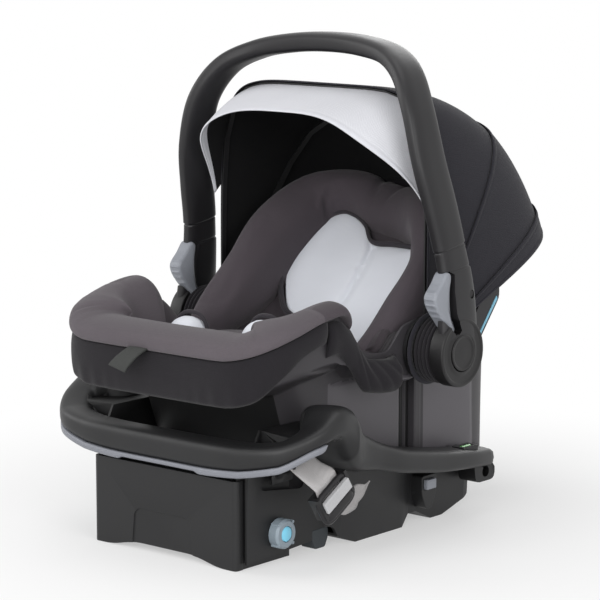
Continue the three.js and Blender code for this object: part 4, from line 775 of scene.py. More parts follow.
def eased(made, width=0.7, segments=2, angle=32):
    bevel = made.modifiers.new("Eased edges", "BEVEL")
    bevel.width = width / 1000
    bevel.segments = segments
    bevel.limit_method = "ANGLE"
    bevel.angle_limit = math.radians(angle)
    bevel.harden_normals = True
    bevel.use_clamp_overlap = True
    return made


def rigid(node, finish_name, width=0.7, segments=2, angle=32):
    """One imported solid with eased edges, standing for its own node."""
    made = eased(welded(node, f"{node}_dressed"), width, segments, angle)
    return settle(made, node, finish_name)


# ---- Base ----
VIAL_AT = (REAR_HALF + 30.5, 108.0)


def rim_rows():
    left = RIM[1:][::-1].copy()
    left[:, 0] *= -1
    return np.vstack([left, RIM])


def rim_at(t):
    """The rim at t from the left rail's end (0) to the right one's (1): centre in plan, the direction along it,
    outwards, and the section's half-depth, underside and top."""
    rows = rim_rows()
    at = spline(rows[:, :2], t)
    ahead = unit(spline(rows[:, :2], np.clip(t + 1e-4, 0, 1)) - spline(rows[:, :2], np.clip(t - 1e-4, 0, 1)))
    out = np.stack([ahead[..., 1], -ahead[..., 0]], -1)
    size = spline(rows[:, 2:], t)
    return at, ahead, out, size


def rim_surface():
    """A rounded-square section carried along the rim's line; both ends shrink as a quarter circle, and the top
    dips under each level vial."""
    ends = np.array([0, 0.0004, 0.0015, 0.0032, 0.0055, 0.0085])
    t = np.concatenate([ends, np.linspace(0.012, 0.988, 300), 1 - ends[::-1]])
    at, _, out, size = rim_at(t)
    along = np.minimum(t, 1 - t) / 0.0085
    taper = np.sqrt(np.clip(1 - (1 - np.clip(along, 0, 1)) ** 2, 0.002, 1))
    turn = np.arange(64) / 64 * 2 * np.pi
    c, s = power(np.cos(turn), 3.2), power(np.sin(turn), 3.2)
    half, low, high = (size[:, k, None] for k in range(3))
    middle = (low + high) / 2
    depth = half * taper[:, None] * c[None]
    x = at[:, 0, None] + out[:, 0, None] * depth
    y = at[:, 1, None] + out[:, 1, None] * depth
    z = middle + (high - low) / 2 * taper[:, None] * s[None]
    in_pocket = (np.abs(np.abs(x) - VIAL_AT[0]) < 6.8) & (np.abs(y - VIAL_AT[1]) < 12)
    z = np.where(in_pocket, np.minimum(z, 82.2), z)
    return grid_object("base_rim", np.stack([x, y, z], -1), ring=True, poles=(True, True))


def shrink_rim(points):
    """Draws the solid rim's skin in by a seventh of its depth, so that the smooth rim covers it."""
    t = np.linspace(0, 1, 900)
    at, ahead, out, size = rim_at(t)
    near = np.argmin(((points[:, None, :2] - at[None]) ** 2).sum(-1), 1)
    offset = points[:, :2] - at[near]
    across = (offset * out[near]).sum(1)
    half, low, high = size[near].T
    middle, rise = (low + high) / 2, (high - low) / 2
    a, b = across / half, (points[:, 2] - middle) / rise
    level = (np.abs(a) ** 3.4 + np.abs(b) ** 3.4) ** (1 / 3.4)
    stray = np.abs((offset * ahead[near]).sum(1))
    skin = (level > 0.84) & (level < 1.03) & (stray < 8)
    moved = points.copy()
    side = skin & (np.abs(a) > 0.6)
    shift = -across * 0.13
    moved[side, :2] += (out[near] * shift[:, None])[side]
    cap = skin & (np.abs(b) > 0.6)
    moved[cap, 2] -= ((points[:, 2] - middle) * 0.12)[cap]
    return moved


def stripe_surface():
    """The grey strip under the rim: a flat band with a rounded lower edge, thinner across the middle of the
    front, with both ends rounded off."""
    reach = 4.3 / 24
    t = np.linspace(0.5 - reach, 0.5 + reach, 240)
    at, _, out, size = rim_at(t)
    half, low = size[:, 0], size[:, 1]
    share = np.minimum(np.arange(240), np.arange(240)[::-1]) / 5.0
    taper = np.sqrt(np.clip(1 - (1 - np.clip(share, 0, 1)) ** 2, 0.01, 1))
    thin = smooth(np.abs(at[:, 0]), 56, 64)
    height = lerp(5.2, 8, thin) * taper
    outer = half - 1.5 + 0.35
    top = low + 1.8
    profile = [(-9, 0), (-1.2, 0), (0, -0.08), (0.25, -0.35), (0.2, -0.7), (-0.4, -0.92), (-1.6, -1), (-9, -1)]
    o = np.array([p[0] for p in profile])
    h = np.array([p[1] for p in profile])
    depth = outer[:, None] + o[None] * 1.0
    z = top[:, None] + h[None] * height[:, None]
    points = np.stack([at[:, 0, None] + out[:, 0, None] * depth, at[:, 1, None] + out[:, 1, None] * depth, z], -1)
    return facing_out(grid_object("trim_stripe_dressed", points, ring=True, poles=(True, True)))


# ---- Seat shell and its layers ----
def rim_height(turn):
    s = np.sin(turn)
    y = np.where(s < 0, rounded(turn, 6.5)[1], rounded(turn, 3.6)[1])
    return table_at(RIM_HEIGHT, -12 + 256 * y)


def skin_at(turn, v, extra=0.0):
    """The outer skin at a bearing, from the bottom edge (0) to the rim (1): rounded squares whose half-width
    flares from the body to the rim over the flange."""
    turn, v = np.broadcast_arrays(np.asarray(turn, float), np.asarray(v, float))
    top = rim_height(turn)
    z = lerp(KEEL_BOTTOM, top, v)
    flange = np.minimum(lerp(KEEL_BOTTOM, top, 0.68), 215)
    flare = smooth(z, flange, flange + 16)
    half = lerp(KEEL_HALF, SEAT_HALF, flare) + extra
    front = lerp(table_at(NOSE_FRONT, z), -270, flare) - extra
    rear = table_at(SKIN_REAR, z) + extra
    squareness = np.where(np.sin(turn) < 0, table_at(NOSE_SQUARE, z), table_at(SKIN_SQUARE, z))
    x, y = rounded(turn, squareness)
    return np.stack([half * x, (front + rear) / 2 + (rear - front) / 2 * y, z], -1)


def bucket_at(turn, v):
    """The inner bucket from its floor (0) to the rim (1): each bearing's point runs from a small rounded floor
    to the rim by a fill curve that is steep at the sides and even at the ends."""
    turn, v = np.broadcast_arrays(np.asarray(turn, float), np.asarray(v, float))
    s = np.sin(turn)
    x, y = rounded(turn, 2.8)
    floor = np.stack([76 * x, -82 + 50 * y, np.full_like(x, BUCKET_FLOOR)], -1)
    rim = skin_at(turn, np.ones_like(v), -3.4)
    ends = np.where(s < 0, table_at(FRONT_FILL, v), table_at(REAR_FILL, v))
    fill = lerp(table_at(SIDE_FILL, v), ends, s * s)
    return np.concatenate([lerp(floor[..., :2], rim[..., :2], fill[..., None]),
                           lerp(floor[..., 2:], rim[..., 2:], v[..., None])], -1)


def bucket_layer(turn, v, depth):
    """The bucket's surface moved inwards by a depth along its normal."""
    n = normals_of(bucket_at, turn, v)
    inward = np.stack([-np.cos(turn) * np.ones_like(v), -np.sin(turn) * np.ones_like(v), 0.6 + 0 * (turn + v)], -1)
    n = n * np.sign(np.sum(n * inward, -1, keepdims=True))
    return bucket_at(turn, v) + n * np.asarray(depth)[..., None]


def shell_bearings():
    """Bearings for the shell's columns: 3.5 mm apart along it, and 0.8 mm apart in depth over the channel."""
    fine = np.linspace(-math.pi / 2, math.pi / 2, 20001)
    y = skin_at(fine, np.full(20001, 0.3))[:, 1]
    x = skin_at(fine, np.full(20001, 0.3))[:, 0]
    pace = np.hypot(np.gradient(x), np.gradient(y)) * np.where((y > 11) & (y < 64) & (x > 90), 4.2, 1.0)
    total = np.cumsum(pace)
    right = np.interp((np.arange(190) + 0.5) / 190 * total[-1], total, fine)
    return np.concatenate([right, math.pi - right[::-1]])




def rail_clear(points):
    """Keeps the body within the tub's width where it stands below the rails."""
    x, y, z = points[..., 0], points[..., 1], points[..., 2]
    line = table_at(RAIL_LINE, y)
    below = smooth(line - 6 - z, 0, 5)
    limit = lerp(400, PLUG_HALF + 1.5, below)
    nose = smooth(-(y + 100), 0, 6) * smooth(line - 30 - z, 0, 3)
    limit = np.minimum(limit, lerp(400, 111, nose))
    out = points.copy()
    out[..., 0] = np.sign(x) * np.minimum(np.abs(x), limit)
    return out


def side_relief(points, line_y):
    """Mouldings on the body's sides: a raised panel, a deep upright channel with a rib in it, and a second
    panel behind."""
    x, z = points[..., 0], points[..., 2]
    flat = smooth(np.abs(x), 117, 121) * smooth(226 - z, 0, 14) * smooth(150 - np.abs(line_y - 10), 0, 20)
    y = lerp(points[..., 1], line_y, flat)
    side = smooth(np.abs(x), 118, 122) * smooth(210 - z, 0, 6)
    panel = smooth(y, -116, -113.5) * smooth(14.5 - y, 0, 1.6) * smooth(196 - z, 0, 3)
    channel = smooth(y, 15.5, 17.5) * smooth(45 - y, 0, 2)
    rib = bump(y, 30.5, 1.7)
    rear = smooth(y, 45, 47) * smooth(165 - y, 0, 3) * smooth(214 - z, 0, 3)
    line = smooth(y, 56, 57) * smooth(61 - y, 0, 1)
    move = panel * 1.1 + rear * 0.9 - line * 0.7 - channel * 7.5 * (1 - 0.75 * rib)
    out = points.copy()
    out[..., 0] += np.sign(x) * move * side
    out[..., 1] = y
    return out


def seat_shell_surface():
    """One closed surface, round the bearings: from the middle of the bucket's floor up to the rim, over the
    rim's edge, down the flared skin, in to the plug, down it, and back up inside to the middle."""
    turn = shell_bearings()
    count = len(turn)
    rows = []
    for v in np.linspace(0, 1, 40):
        rows.append(bucket_at(turn, np.full(count, v)))
    for a in (0.25, 0.5, 0.75):
        edge = skin_at(turn, np.ones(count), -3.4 + 3.4 * a)
        edge[:, 2] += 1.1 * math.sin(math.pi * a)
        rows.append(edge)
    v_skin = np.concatenate([np.linspace(1, 0.62, 44), np.linspace(0.615, 0, 60)])
    skin = np.array([skin_at(turn, np.full(count, v)) for v in v_skin])
    rows += list(side_relief(rail_clear(skin), skin_at(turn, np.full(count, 0.3))[:, 1]))
    c, s = rounded(turn, 12)
    plug = np.stack([(PLUG_HALF - 1) * c, 10 + 143.5 * s, np.full(count, 66.0)], -1)
    nose = smooth(-plug[:, 1], 92, 108)
    plug[:, 0] = np.sign(plug[:, 0]) * np.minimum(np.abs(plug[:, 0]), lerp(PLUG_HALF - 1, 110, nose))
    base = np.full(count, 30.5)
    for y, top in ((-128, 68), (96, 58)):
        base = np.where(np.abs(plug[:, 1] - y) < 7.5, top, base)
    inward = np.array([0.975, 0.978])
    for z in np.linspace(66, 31, 8):
        row = plug.copy()
        row[:, 2] = np.maximum(z, base)
        rows.append(row)
    inner = plug.copy()
    inner[:, 0] *= inward[0]
    inner[:, 1] = 10 + (inner[:, 1] - 10) * inward[1]
    for z in (31, 66, 100, 133):
        row = inner.copy()
        row[:, 2] = np.maximum(z, base)
        rows.append(row)
    for share in (0.75, 0.5, 0.25):
        row = inner.copy()
        row[:, 0] *= share
        row[:, 1] = 10 + (row[:, 1] - 10) * share
        row[:, 2] = 134
        rows.append(row)
    return facing_out(grid_object("seat_shell_dressed", np.array(rows), ring=True, poles=(True, True)))


def lining(name, outer, inner, top, quilt):
    """A layer in the bucket between two depths, up to a share of its height, with a rolled top edge. quilt adds
    a depth by bearing and height."""
    turn = np.arange(240) / 240 * 2 * np.pi
    levels = np.concatenate([np.linspace(0, top - 0.04, 40), np.linspace(top - 0.035, top, 6)])
    low = [bucket_layer(turn, np.full(240, v), np.full(240, float(outer))) for v in levels]
    high = []
    for v in levels:
        depth = inner + quilt(turn, v) - (inner - outer) * 0.3 * float(smooth(v, top - 0.03, top))
        high.append(bucket_layer(turn, np.full(240, v), depth * np.ones(240)))
    crest = []
    for a in (0.3, 0.7):
        mid = lerp(low[-1], high[-1], a)
        mid[:, 2] += 2.5 * math.sin(math.pi * a)
        crest.append(mid)
    rows = np.array(low + crest + high[::-1])
    return facing_out(grid_object(name, rows, ring=True, poles=(True, True)))


def roll_surface():
    """The padded roll: an ellipse carried along a smooth line from one hip round the head to the other, with
    both ends drawn in over a quarter circle."""
    rows = mirrored_rows(ROLL)
    low = (rows[:, 0] > 60) & (rows[:, 1] < 120)
    rows[low] += np.array([17, 0, -10, -8, -13])
    rows[(rows[:, 0] > 20) & (rows[:, 1] > 120)] += np.array([0, -14, -8, 0, 2])
    rows[(rows[:, 0] < -20) & (rows[:, 1] > 60)] += np.array([-12, 5, 8, -3, 0])
    rows[(rows[:, 0] < -60) & (rows[:, 1] < 60)] += np.array([-6, 3, 12, -3, 0])
    ends = np.array([0, 0.001, 0.004, 0.009, 0.016, 0.025])
    t = np.concatenate([ends, np.linspace(0.036, 0.964, 120), 1 - ends[::-1]])
    path, size = spline(rows[:, :3], t), spline(rows[:, 3:], t)
    ahead = unit(np.gradient(path, axis=0))
    up = unit(np.array([0, -0.6, 0.8]) - ahead * (ahead @ np.array([0, -0.6, 0.8]))[:, None])
    side = np.cross(ahead, up)
    along = np.clip(np.minimum(t, 1 - t) / 0.03, 0, 1)
    taper = np.sqrt(np.clip(1 - (1 - along) ** 2, 0.01, 1))[:, None]
    turn = np.arange(40) / 40 * 2 * np.pi
    c, s = power(np.cos(turn), 2.3), power(np.sin(turn), 2.3)
    points = (path[:, None] + side[:, None] * (size[:, :1] * taper * c)[..., None]
              + up[:, None] * (size[:, 1:] * taper * s)[..., None])
    return facing_out(grid_object("roll", points, ring=True, poles=(True, True)))


def cushion_surface(name, x, y, z, squareness=2.6):
    """A rounded cushion in a box: a rounded square lofted along Y, whose size falls off as a cosine's power."""
    t = np.linspace(-0.49, 0.49, 30)
    size = np.cos(t * 0.98 * np.pi) ** 0.55
    ahead = np.sin(t * 0.98 * np.pi) / math.sin(0.49 * 0.98 * math.pi)
    turn = np.arange(40) / 40 * 2 * np.pi
    middle = [(a + b) / 2 for a, b in (x, y, z)]
    half = [(b - a) / 2 for a, b in (x, y, z)]
    c, s = power(np.cos(turn), squareness), power(np.sin(turn), squareness)
    points = np.stack([
        middle[0] + half[0] * size[:, None] * c[None],
        np.broadcast_to((middle[1] + half[1] * ahead)[:, None], (30, 40)),
        middle[2] + half[2] * size[:, None] * s[None],
    ], -1)
    return facing_out(grid_object(name, points, ring=True, poles=(True, True)))


def pad_point(x, y, depth):
    """The point of the seat pad's face over a place in plan, found by stepping bearing and height along the
    inverse of their two slopes."""
    turn = np.full_like(x, math.pi / 2) - x / 220
    v = np.clip(0.2 + (y - 20) / 260, 0.1, 0.95)
    for _ in range(14):
        here = bucket_layer(turn, v, np.full_like(x, depth))
        by_turn = (bucket_layer(turn + 1e-3, v, np.full_like(x, depth)) - here)[..., :2] / 1e-3
        by_v = (bucket_layer(turn, v + 1e-3, np.full_like(x, depth)) - here)[..., :2] / 1e-3
        miss = np.stack([x, y], -1) - here[..., :2]
        det = by_turn[..., 0] * by_v[..., 1] - by_turn[..., 1] * by_v[..., 0]
        det = np.where(np.abs(det) < 1e-6, 1e-6, det)
        step_turn = (miss[..., 0] * by_v[..., 1] - miss[..., 1] * by_v[..., 0]) / det
        step_v = (by_turn[..., 0] * miss[..., 1] - by_turn[..., 1] * miss[..., 0]) / det
        turn = np.clip(turn + np.clip(step_turn, -0.15, 0.15), 0.05, math.pi - 0.05)
        v = np.clip(v + np.clip(step_v, -0.08, 0.08), 0.02, 0.97)
    return bucket_layer(turn, v, np.full_like(x, depth))


HEART = [
    (0, 127), (20, 138), (46, 150), (74, 153), (97, 139), (109, 112), (106, 84), (92, 60), (72, 42), (46, 31),
    (20, 25), (0, 23),
]


HEART_RIGHT = [(5, 119), (36, 119.5), (66, 120), (92, 119), (104, 104), (107, 84), (107, 60), (105, 36), (88, 19),
               (56, 14), (24, 15)]


def heart_edge(count, scale=1.0):
    """The outline in plan: the far lobe rounded, the near one cut straight across where the roll folds over."""
    left = np.array(HEART[1:], float)[::-1] * np.array([-1, 1])
    edge = loop_spline(np.vstack([HEART_RIGHT, left]), count)
    middle = np.array([0, 86.0])
    return middle + (edge - middle) * scale


def heart_surface():
    """The pale back insert: a two-lobed outline filled from its middle outwards, lying on the seat pad and
    crowned by a few millimetres, with a sewn seam down its middle."""
    count = 200
    edge = heart_edge(count)
    middle = np.array([0, 86.0])
    shares = np.sin(np.linspace(0.02, 0.5, 34) * np.pi)
    plan = middle + (edge - middle)[None] * shares[:, None, None]
    x, y = plan[..., 0], plan[..., 1]
    r = shares[:, None]
    rise = 9.5 * (1 - r**3) ** 0.8 + 1.2 + 7 * smooth(-x, 20, 80) * smooth(r, 0.3, 1.0)
    seam = 4 + 9 * swell((y - 20) / 100)
    rise = rise * (1 - 0.55 * bump(x, seam, 6) * smooth(1.02 - r, 0, 0.25))
    rise = rise * (1 - 0.3 * bump(x, seam, 1.2)) + 0.5 * waves(x, y, 0 * x, 3, 18)
    base = pad_point(x, y, PAD_FACE + 0.4)
    n = unit(np.cross(pad_point(x + 1, y, PAD_FACE) - base, pad_point(x, y + 1, PAD_FACE) - base))
    n = n * np.sign(n[..., 2:])
    top = base + n * rise[..., None]
    return facing_out(grid_object("center_insert_dressed", np.concatenate([top, base[::-1]]), ring=True,
                                  poles=(True, True)))


def heart_piping():
    """Two cords side by side round the insert's edge, raised on the far side to lie on the padded roll."""
    cords = []
    for inset, rise in ((0.02, 11.0), (-0.01, 9.0)):
        edge = heart_edge(220, 1.0)
        inset = inset * smooth(-edge[:, 0], 0, 60) - 0.005
        edge = edge + (np.array([0, 86.0]) - edge) * inset[:, None]
        base = pad_point(edge[:, 0], edge[:, 1], PAD_FACE)
        rise = rise - 3 + 5 * smooth(-edge[:, :1], 20, 80)
        cords.append(piping("heart_piping", base + np.array([0, -0.6, 0.8]) * rise, 2.4, closed=True))
    return joined("heart_piping", cords)


COVER_SECTION = [
    (3.5, 1.6), (15, 2), (17, 8), (14, 17), (2, 24), (-18, 27), (-38, 25), (-52, 20), (-58, 12), (-52, 7), (-30, 6),
    (-8, 2),
]


WING_SECTION = [
    (3.5, 1.6), (15, 2), (17, 8), (14, 17), (3, 24), (-10, 25), (-22, 18), (-31, 2), (-41, -22), (-48, -44), (-38, -46),
    (-12, -8),
]


def rim_frame(turn):
    rim = skin_at(turn, np.ones_like(turn))
    ahead = skin_at(turn + 0.02, np.ones_like(turn)) - skin_at(turn - 0.02, np.ones_like(turn))
    ahead[:, 2] = 0
    ahead = unit(ahead)
    return rim, np.stack([ahead[:, 1], -ahead[:, 0], 0 * ahead[:, 0]], -1)


def front_cover_surface():
    """The padded cover of the rim round the foot end: a rounded section carried round the rim, lower over the
    wings, drawn in at both ends, with soft folds and a dart at each corner and a seam where each wing starts."""
    half, count = math.pi, 260
    turn = np.linspace(half + 2 * math.pi / 18, 2 * math.pi - 2 * math.pi / 18, count)
    rim, out = rim_frame(turn)
    wing_share = smooth(np.abs(turn - 1.5 * half), 0.8, 1.0)[:, None, None]
    section = lerp(loop_spline(COVER_SECTION, 56)[None], loop_spline(WING_SECTION, 56)[None], wing_share)
    o, h = section[..., 0], section[..., 1]
    flatter = lerp(1, 0.6, smooth(rim[:, 2], 250, 282))[:, None]
    h = np.where(h > 2, 2 + (h - 2) * flatter, h)
    near = np.clip(np.minimum(np.arange(count), np.arange(count)[::-1]) / 12.0, 0, 1)
    taper = np.sqrt(np.clip(1 - (1 - near) ** 2, 0.02, 1))[:, None]
    middle_o, middle_h = o.mean(1, keepdims=True), h.mean(1, keepdims=True)
    o, h = lerp(middle_o, o, taper), lerp(middle_h, h, taper)
    points = rim[:, None] + out[:, None] * o[..., None] + np.stack([0 * o, 0 * o, h], -1)
    x, y, z = points[..., 0], points[..., 1], points[..., 2]
    upper = smooth(h, 6, 14)
    dart = sum(bump(turn, half * 1.5 + k, 0.006) for k in (-0.745, 0.745))[:, None]
    wing = sum(bump(turn, half * 1.5 + k, 0.005) for k in (-1.0, 1.0))[:, None]
    corner = sum(bump(turn, half * 1.5 + k, 0.16) for k in (-0.75, 0.75))[:, None]
    folds = corner * np.sin(turn[:, None] * 95 + o * 0.03) * 0.22
    front = smooth(o, -30, -5)
    lift = upper * (folds + 1.1 * waves(x, y, z, 5, 26) - 2.2 * dart * front - 1.6 * wing * front)
    points[..., 2] += lift
    made = facing_out(grid_object("front_cover_dressed", points, ring=True, poles=(True, True)))
    for name in ("Taupe cloth", "Roll cloth"):
        made.data.materials.append(FINISHES[name])
    spot = np.minimum(np.arange(len(made.data.polygons)) // 56, count - 2)
    off = np.abs(turn[spot] - 1.5 * half)
    x, y, z = face_centres(made).T
    outer = np.hypot(x / 158, np.minimum(y + 12, 0) / 256) > 0.9
    made.data.polygons.foreach_set("material_index", ((off > 1.0) & (np.abs(x) > 152)).astype(int) * outer)
    return made


def hung_cloth(name, turn, top_drop, bottom_drop, outer, fold):
    """A padded cloth wall hung from the rim: each column runs from the bottom drop to the top one, its outer
    face moved out by a thickness and by folds, its inner face tucked under the rim."""
    count = len(turn)
    shares = np.linspace(0, 1, 40)
    rim, out = rim_frame(turn)
    t = shares[:, None]
    drop = lerp(bottom_drop(rim[:, 2])[None], top_drop, t)
    face = np.repeat(rim[None], 40, 0)
    face[..., 2] -= drop
    x, y, z = face[..., 0], face[..., 1], face[..., 2]
    thick = outer(turn[None] + 0 * t, t + 0 * turn[None]) + fold(turn[None] + 0 * t, t + 0 * turn[None], x, y, z)
    edge = np.clip(np.minimum(np.arange(count), np.arange(count)[::-1]) / 7.0, 0, 1)[None]
    closing = np.sqrt(np.clip(1 - (1 - edge) ** 2, 0.03, 1))
    low_edge = np.sqrt(np.clip(1 - (1 - np.clip(t / 0.1, 0, 1)) ** 2, 0.08, 1))
    inner = lerp(-3, 0.6, smooth(t, 0, 0.6)) + 0 * thick
    mid = (inner + thick) / 2
    top = face + out[None] * lerp(mid, thick, closing * low_edge)[..., None]
    under = face + out[None] * lerp(mid, inner, closing * low_edge)[..., None]
    return closed_sheet(name, top, under)


# ---- Canopy ----
ARCH_END = math.asin((BOSS_R + 5) / HOOD_RADIUS)


def hood_at(turn, back):
    """The canopy's arch, a rounded square turned back from upright about the pivots by an angle in degrees."""
    turn, back = np.broadcast_arrays(np.asarray(turn, float), np.asarray(back, float))
    x, y = rounded(turn, 6)
    r, lean = HOOD_RADIUS * y, np.radians(back)
    return np.stack([HOOD_HALF * x, PIVOT[0] + r * np.sin(lean), PIVOT[1] + r * np.cos(lean)], -1)


def hood_layer(turn, back, depth):
    """The arch moved inwards by a depth along its normal."""
    n = normals_of(hood_at, turn, back, 2e-3, 0.2)
    p = hood_at(turn, back)
    away = p - np.array([0, PIVOT[0], PIVOT[1]])
    n = n * np.sign(np.sum(n * away, -1, keepdims=True))
    return p - n * np.asarray(depth)[..., None]


def hood_sheet(name, turn, back, depth, thick=1.2, layer=hood_layer):
    """A closed cloth on the arch between two depths; depth is a grid."""
    top = layer(turn, back, depth)
    under = layer(turn, back, depth + thick)
    made = closed_sheet(name, top, under)
    columns = top.shape[1]
    count = (top.shape[0] - 1) * 2 * columns
    lined = np.zeros(len(made.data.polygons), int)
    i = np.arange(count) % (2 * columns)
    lined[:count] = np.where((i >= columns) & (i < 2 * columns - 1), 1, 0)
    return made, lined


def visor_at(turn, share):
    """The visor from its front edge (0) to the front bow (1): the edge is a rounder arch, drawn in at the top and
    let out at the sides, leaning forward by an angle that is a polynomial of the cosine of the bearing."""
    turn, share = np.broadcast_arrays(np.asarray(turn, float), np.asarray(share, float))
    c2 = np.cos(turn) ** 2
    ease = 1 - np.clip(1 - share, 0, 1) ** 1.25
    near = power(np.cos(turn), 3.35), np.abs(power(np.sin(turn), 3.35))
    far = rounded(np.arctan2(near[1], near[0]), 6)
    x = lerp(1.045 * near[0], 0.985 * far[0], ease) * HOOD_HALF
    r = lerp(0.931 * near[1], 0.972 * far[1], ease) * HOOD_RADIUS
    lean = np.radians(lerp(-16.5 - 13.9 * c2 + 35.4 * c2 * c2, 1.6, share))
    return np.stack([x, PIVOT[0] + r * np.sin(lean), PIVOT[1] + r * np.cos(lean)], -1)


def visor_layer(turn, share, depth):
    n = normals_of(visor_at, turn, share, 2e-3, 0.01)
    p = visor_at(turn, share)
    away = p - np.array([0, PIVOT[0], PIVOT[1]])
    return p - n * np.sign(np.sum(n * away, -1, keepdims=True)) * np.asarray(depth)[..., None]


# ---- Handle ----
def handle_bar_surface():
    """A rounded-square section carried from hub to hub over the grip; a sleeve on each arm stands in by half a
    millimetre between two fine grooves."""
    rows = BAR.copy()
    rows[:, 0] *= HUB_FACE - 9.5
    rows[:, 2] = PIVOT[1] + rows[:, 2] * GRIP_REACH
    whole = mirrored_rows(rows)
    fine = np.linspace(0, 1, 3001)
    heights = spline(whole[:, :3], fine)[:, 2]
    left = fine < 0.5
    marks = [fine[~left][np.argmin(np.abs(heights[~left] - z))] for z in (348, 322)]
    marks += [fine[left][np.argmin(np.abs(heights[left] - z))] for z in (348, 322)]
    near = np.concatenate([m + np.linspace(-0.004, 0.004, 13) for m in marks])
    ends = np.array([0.0006, 0.002, 0.0045])
    t = np.unique(np.concatenate([[0.0], ends, np.linspace(0.008, 0.992, 300), 1 - ends, [1.0], near]))
    path, size = spline(whole[:, :3], t), spline(whole[:, 3:], t)
    ahead = unit(spline(whole[:, :3], np.clip(t + 1e-4, 0, 1)) - spline(whole[:, :3], np.clip(t - 1e-4, 0, 1)))
    along = unit(np.array([0, 1.0, 0]) - ahead * ahead[:, 1:2])
    out = np.cross(ahead, along)
    groove = sum(bump(t, m, 0.0011) for m in marks)
    sleeve = sum(smooth(t, min(a, b), min(a, b) + 0.0012) * smooth(-t, -max(a, b), -max(a, b) + 0.0012)
                 for a, b in (marks[:2], marks[2:]))
    cut = 1.4 * groove + 0.7 * sleeve
    close = np.clip(np.minimum(t, 1 - t) / 0.008, 0, 1)
    taper = np.sqrt(np.clip(1 - (1 - close) ** 2, 0.01, 1))[:, None]
    turn = np.arange(56) / 56 * 2 * np.pi
    c, s = power(np.cos(turn), 3), power(np.sin(turn), 3)
    points = (path[:, None] + along[:, None] * ((size[:, :1] - cut[:, None]) * taper * c)[..., None]
              + out[:, None] * ((size[:, 1:] - cut[:, None]) * taper * s)[..., None])
    return facing_out(grid_object("handle_bar_sweep", points, ring=True, poles=(True, True)))


def turned_body(name, profile, y, z, count=96):
    """A profile of (distance out, radius) turned about a line along X; it starts and ends near the axis."""
    profile = np.asarray(profile, float)
    turn = np.arange(count) / count * 2 * np.pi
    x = np.repeat(profile[:, :1], count, 1)
    points = np.stack([x, y + profile[:, 1:] * np.cos(turn), z + profile[:, 1:] * np.sin(turn)], -1)
    return facing_out(grid_object(name, points, ring=True, poles=(True, True)))


def rounded_profile(rows, radius, steps=4):
    """A profile with its inner corners rounded by an arc of two tangents."""
    rows = np.asarray(rows, float)
    out = [rows[0]]
    for k in range(1, len(rows) - 1):
        a, b, c = rows[k - 1], rows[k], rows[k + 1]
        reach = min(radius, np.linalg.norm(b - a) * 0.45, np.linalg.norm(c - b) * 0.45)
        p, q = b + unit(a - b) * reach, b + unit(c - b) * reach
        for s in np.linspace(0, 1, steps):
            out.append((1 - s) ** 2 * p + 2 * s * (1 - s) * b + s * s * q)
    out.append(rows[-1])
    return np.array(out)


def hub_profile():
    rows = [
        (HUB_BACK, 0.3), (HUB_BACK, HUB_R), (HUB_FACE - 0.4, HUB_R), (HUB_FACE + 0.0, HUB_R - 3.4),
        (HUB_FACE - 1.1, HUB_R - 5.4), (HUB_FACE - 1.4, CAP_R + 6.5), (HUB_FACE - 0.2, CAP_R + 3.2),
        (HUB_FACE - 0.2, CAP_R + 0.9), (HUB_FACE - 2.6, CAP_R + 0.7), (HUB_FACE - 2.6, 0.3),
    ]
    return rounded_profile(rows, 2.2)


def cap_profile():
    rows = [
        (HUB_FACE - 2.2, 0.3), (HUB_FACE - 2.2, CAP_R), (HUB_FACE + 1.0, CAP_R), (HUB_FACE + 0.9, CAP_R - 2.4),
        (HUB_FACE - 0.1, CAP_R - 4.2), (HUB_FACE + 0.3, 6), (HUB_FACE + 0.4, 0.3),
    ]
    return rounded_profile(rows, 1.1)


def face_centres(made):
    flat = np.empty(len(made.data.polygons) * 3)
    made.data.polygons.foreach_get("center", flat)
    return flat.reshape(-1, 3) * 1000


def prism(name, outline, low, high):
    """A straight body across X from low to high through a (y, z) outline."""
    outline = np.asarray(outline, float)
    rows = [np.column_stack([np.full(len(outline), x), outline]) for x in (low, high)]
    return facing_out(grid_object(name, np.array(rows), ring=True, poles=(True, True)))


def grown(outline, distance):
    """An outline moved outwards by a distance: each corner along the sum of its two edges' normals."""
    outline = np.asarray(outline, float)
    after, before = np.roll(outline, -1, 0), np.roll(outline, 1, 0)
    area = np.sum(outline[:, 0] * after[:, 1] - after[:, 0] * outline[:, 1])
    first, second = unit(outline - before), unit(after - outline)
    out = np.stack([first[:, 1] + second[:, 1], -first[:, 0] - second[:, 0]], -1)
    return outline + out * (2 * distance * np.sign(area) / np.sum(out * out, 1))[:, None]


def release_surface():
    """A thumb pad: its side outline carried across, drawn in by a quarter round at both faces, with shallow
    grip ribs across its front."""
    edge = loop_spline(np.repeat(RELEASE, 1, 0), 160)
    middle = edge.mean(0)
    low = HUB_FACE - 25
    rows = []
    for share in np.linspace(0, 1, 15):
        side = min(share, 1 - share) * 19
        inset = 3.2 * (1 - math.sqrt(max(0.0, 1 - (1 - min(side / 3.2, 1)) ** 2)))
        ring = grown(edge, -0.15 - inset)
        front = smooth(-(ring[:, 0] - middle[0]), 2, 8)
        z = ring[:, 1] - PIVOT[1]
        ribs = np.clip(np.cos(z * 2 * math.pi / 7.5), 0, 1) * front * smooth(z, 38, 44) * smooth(84 - z, 0, 6)
        ring[:, 0] -= 1.5 * ribs * smooth(side, 1.5, 4)
        rows.append(np.column_stack([np.full(len(ring), low + 19 * share), ring]))
    return np.array(rows)


STRAP_AT = np.array([190, -186, 88.0])
STRAP_ACROSS = np.array([0, 0.86, 0.51])
STRAP_DOWN = np.array([0.06, 0.5, -0.86])


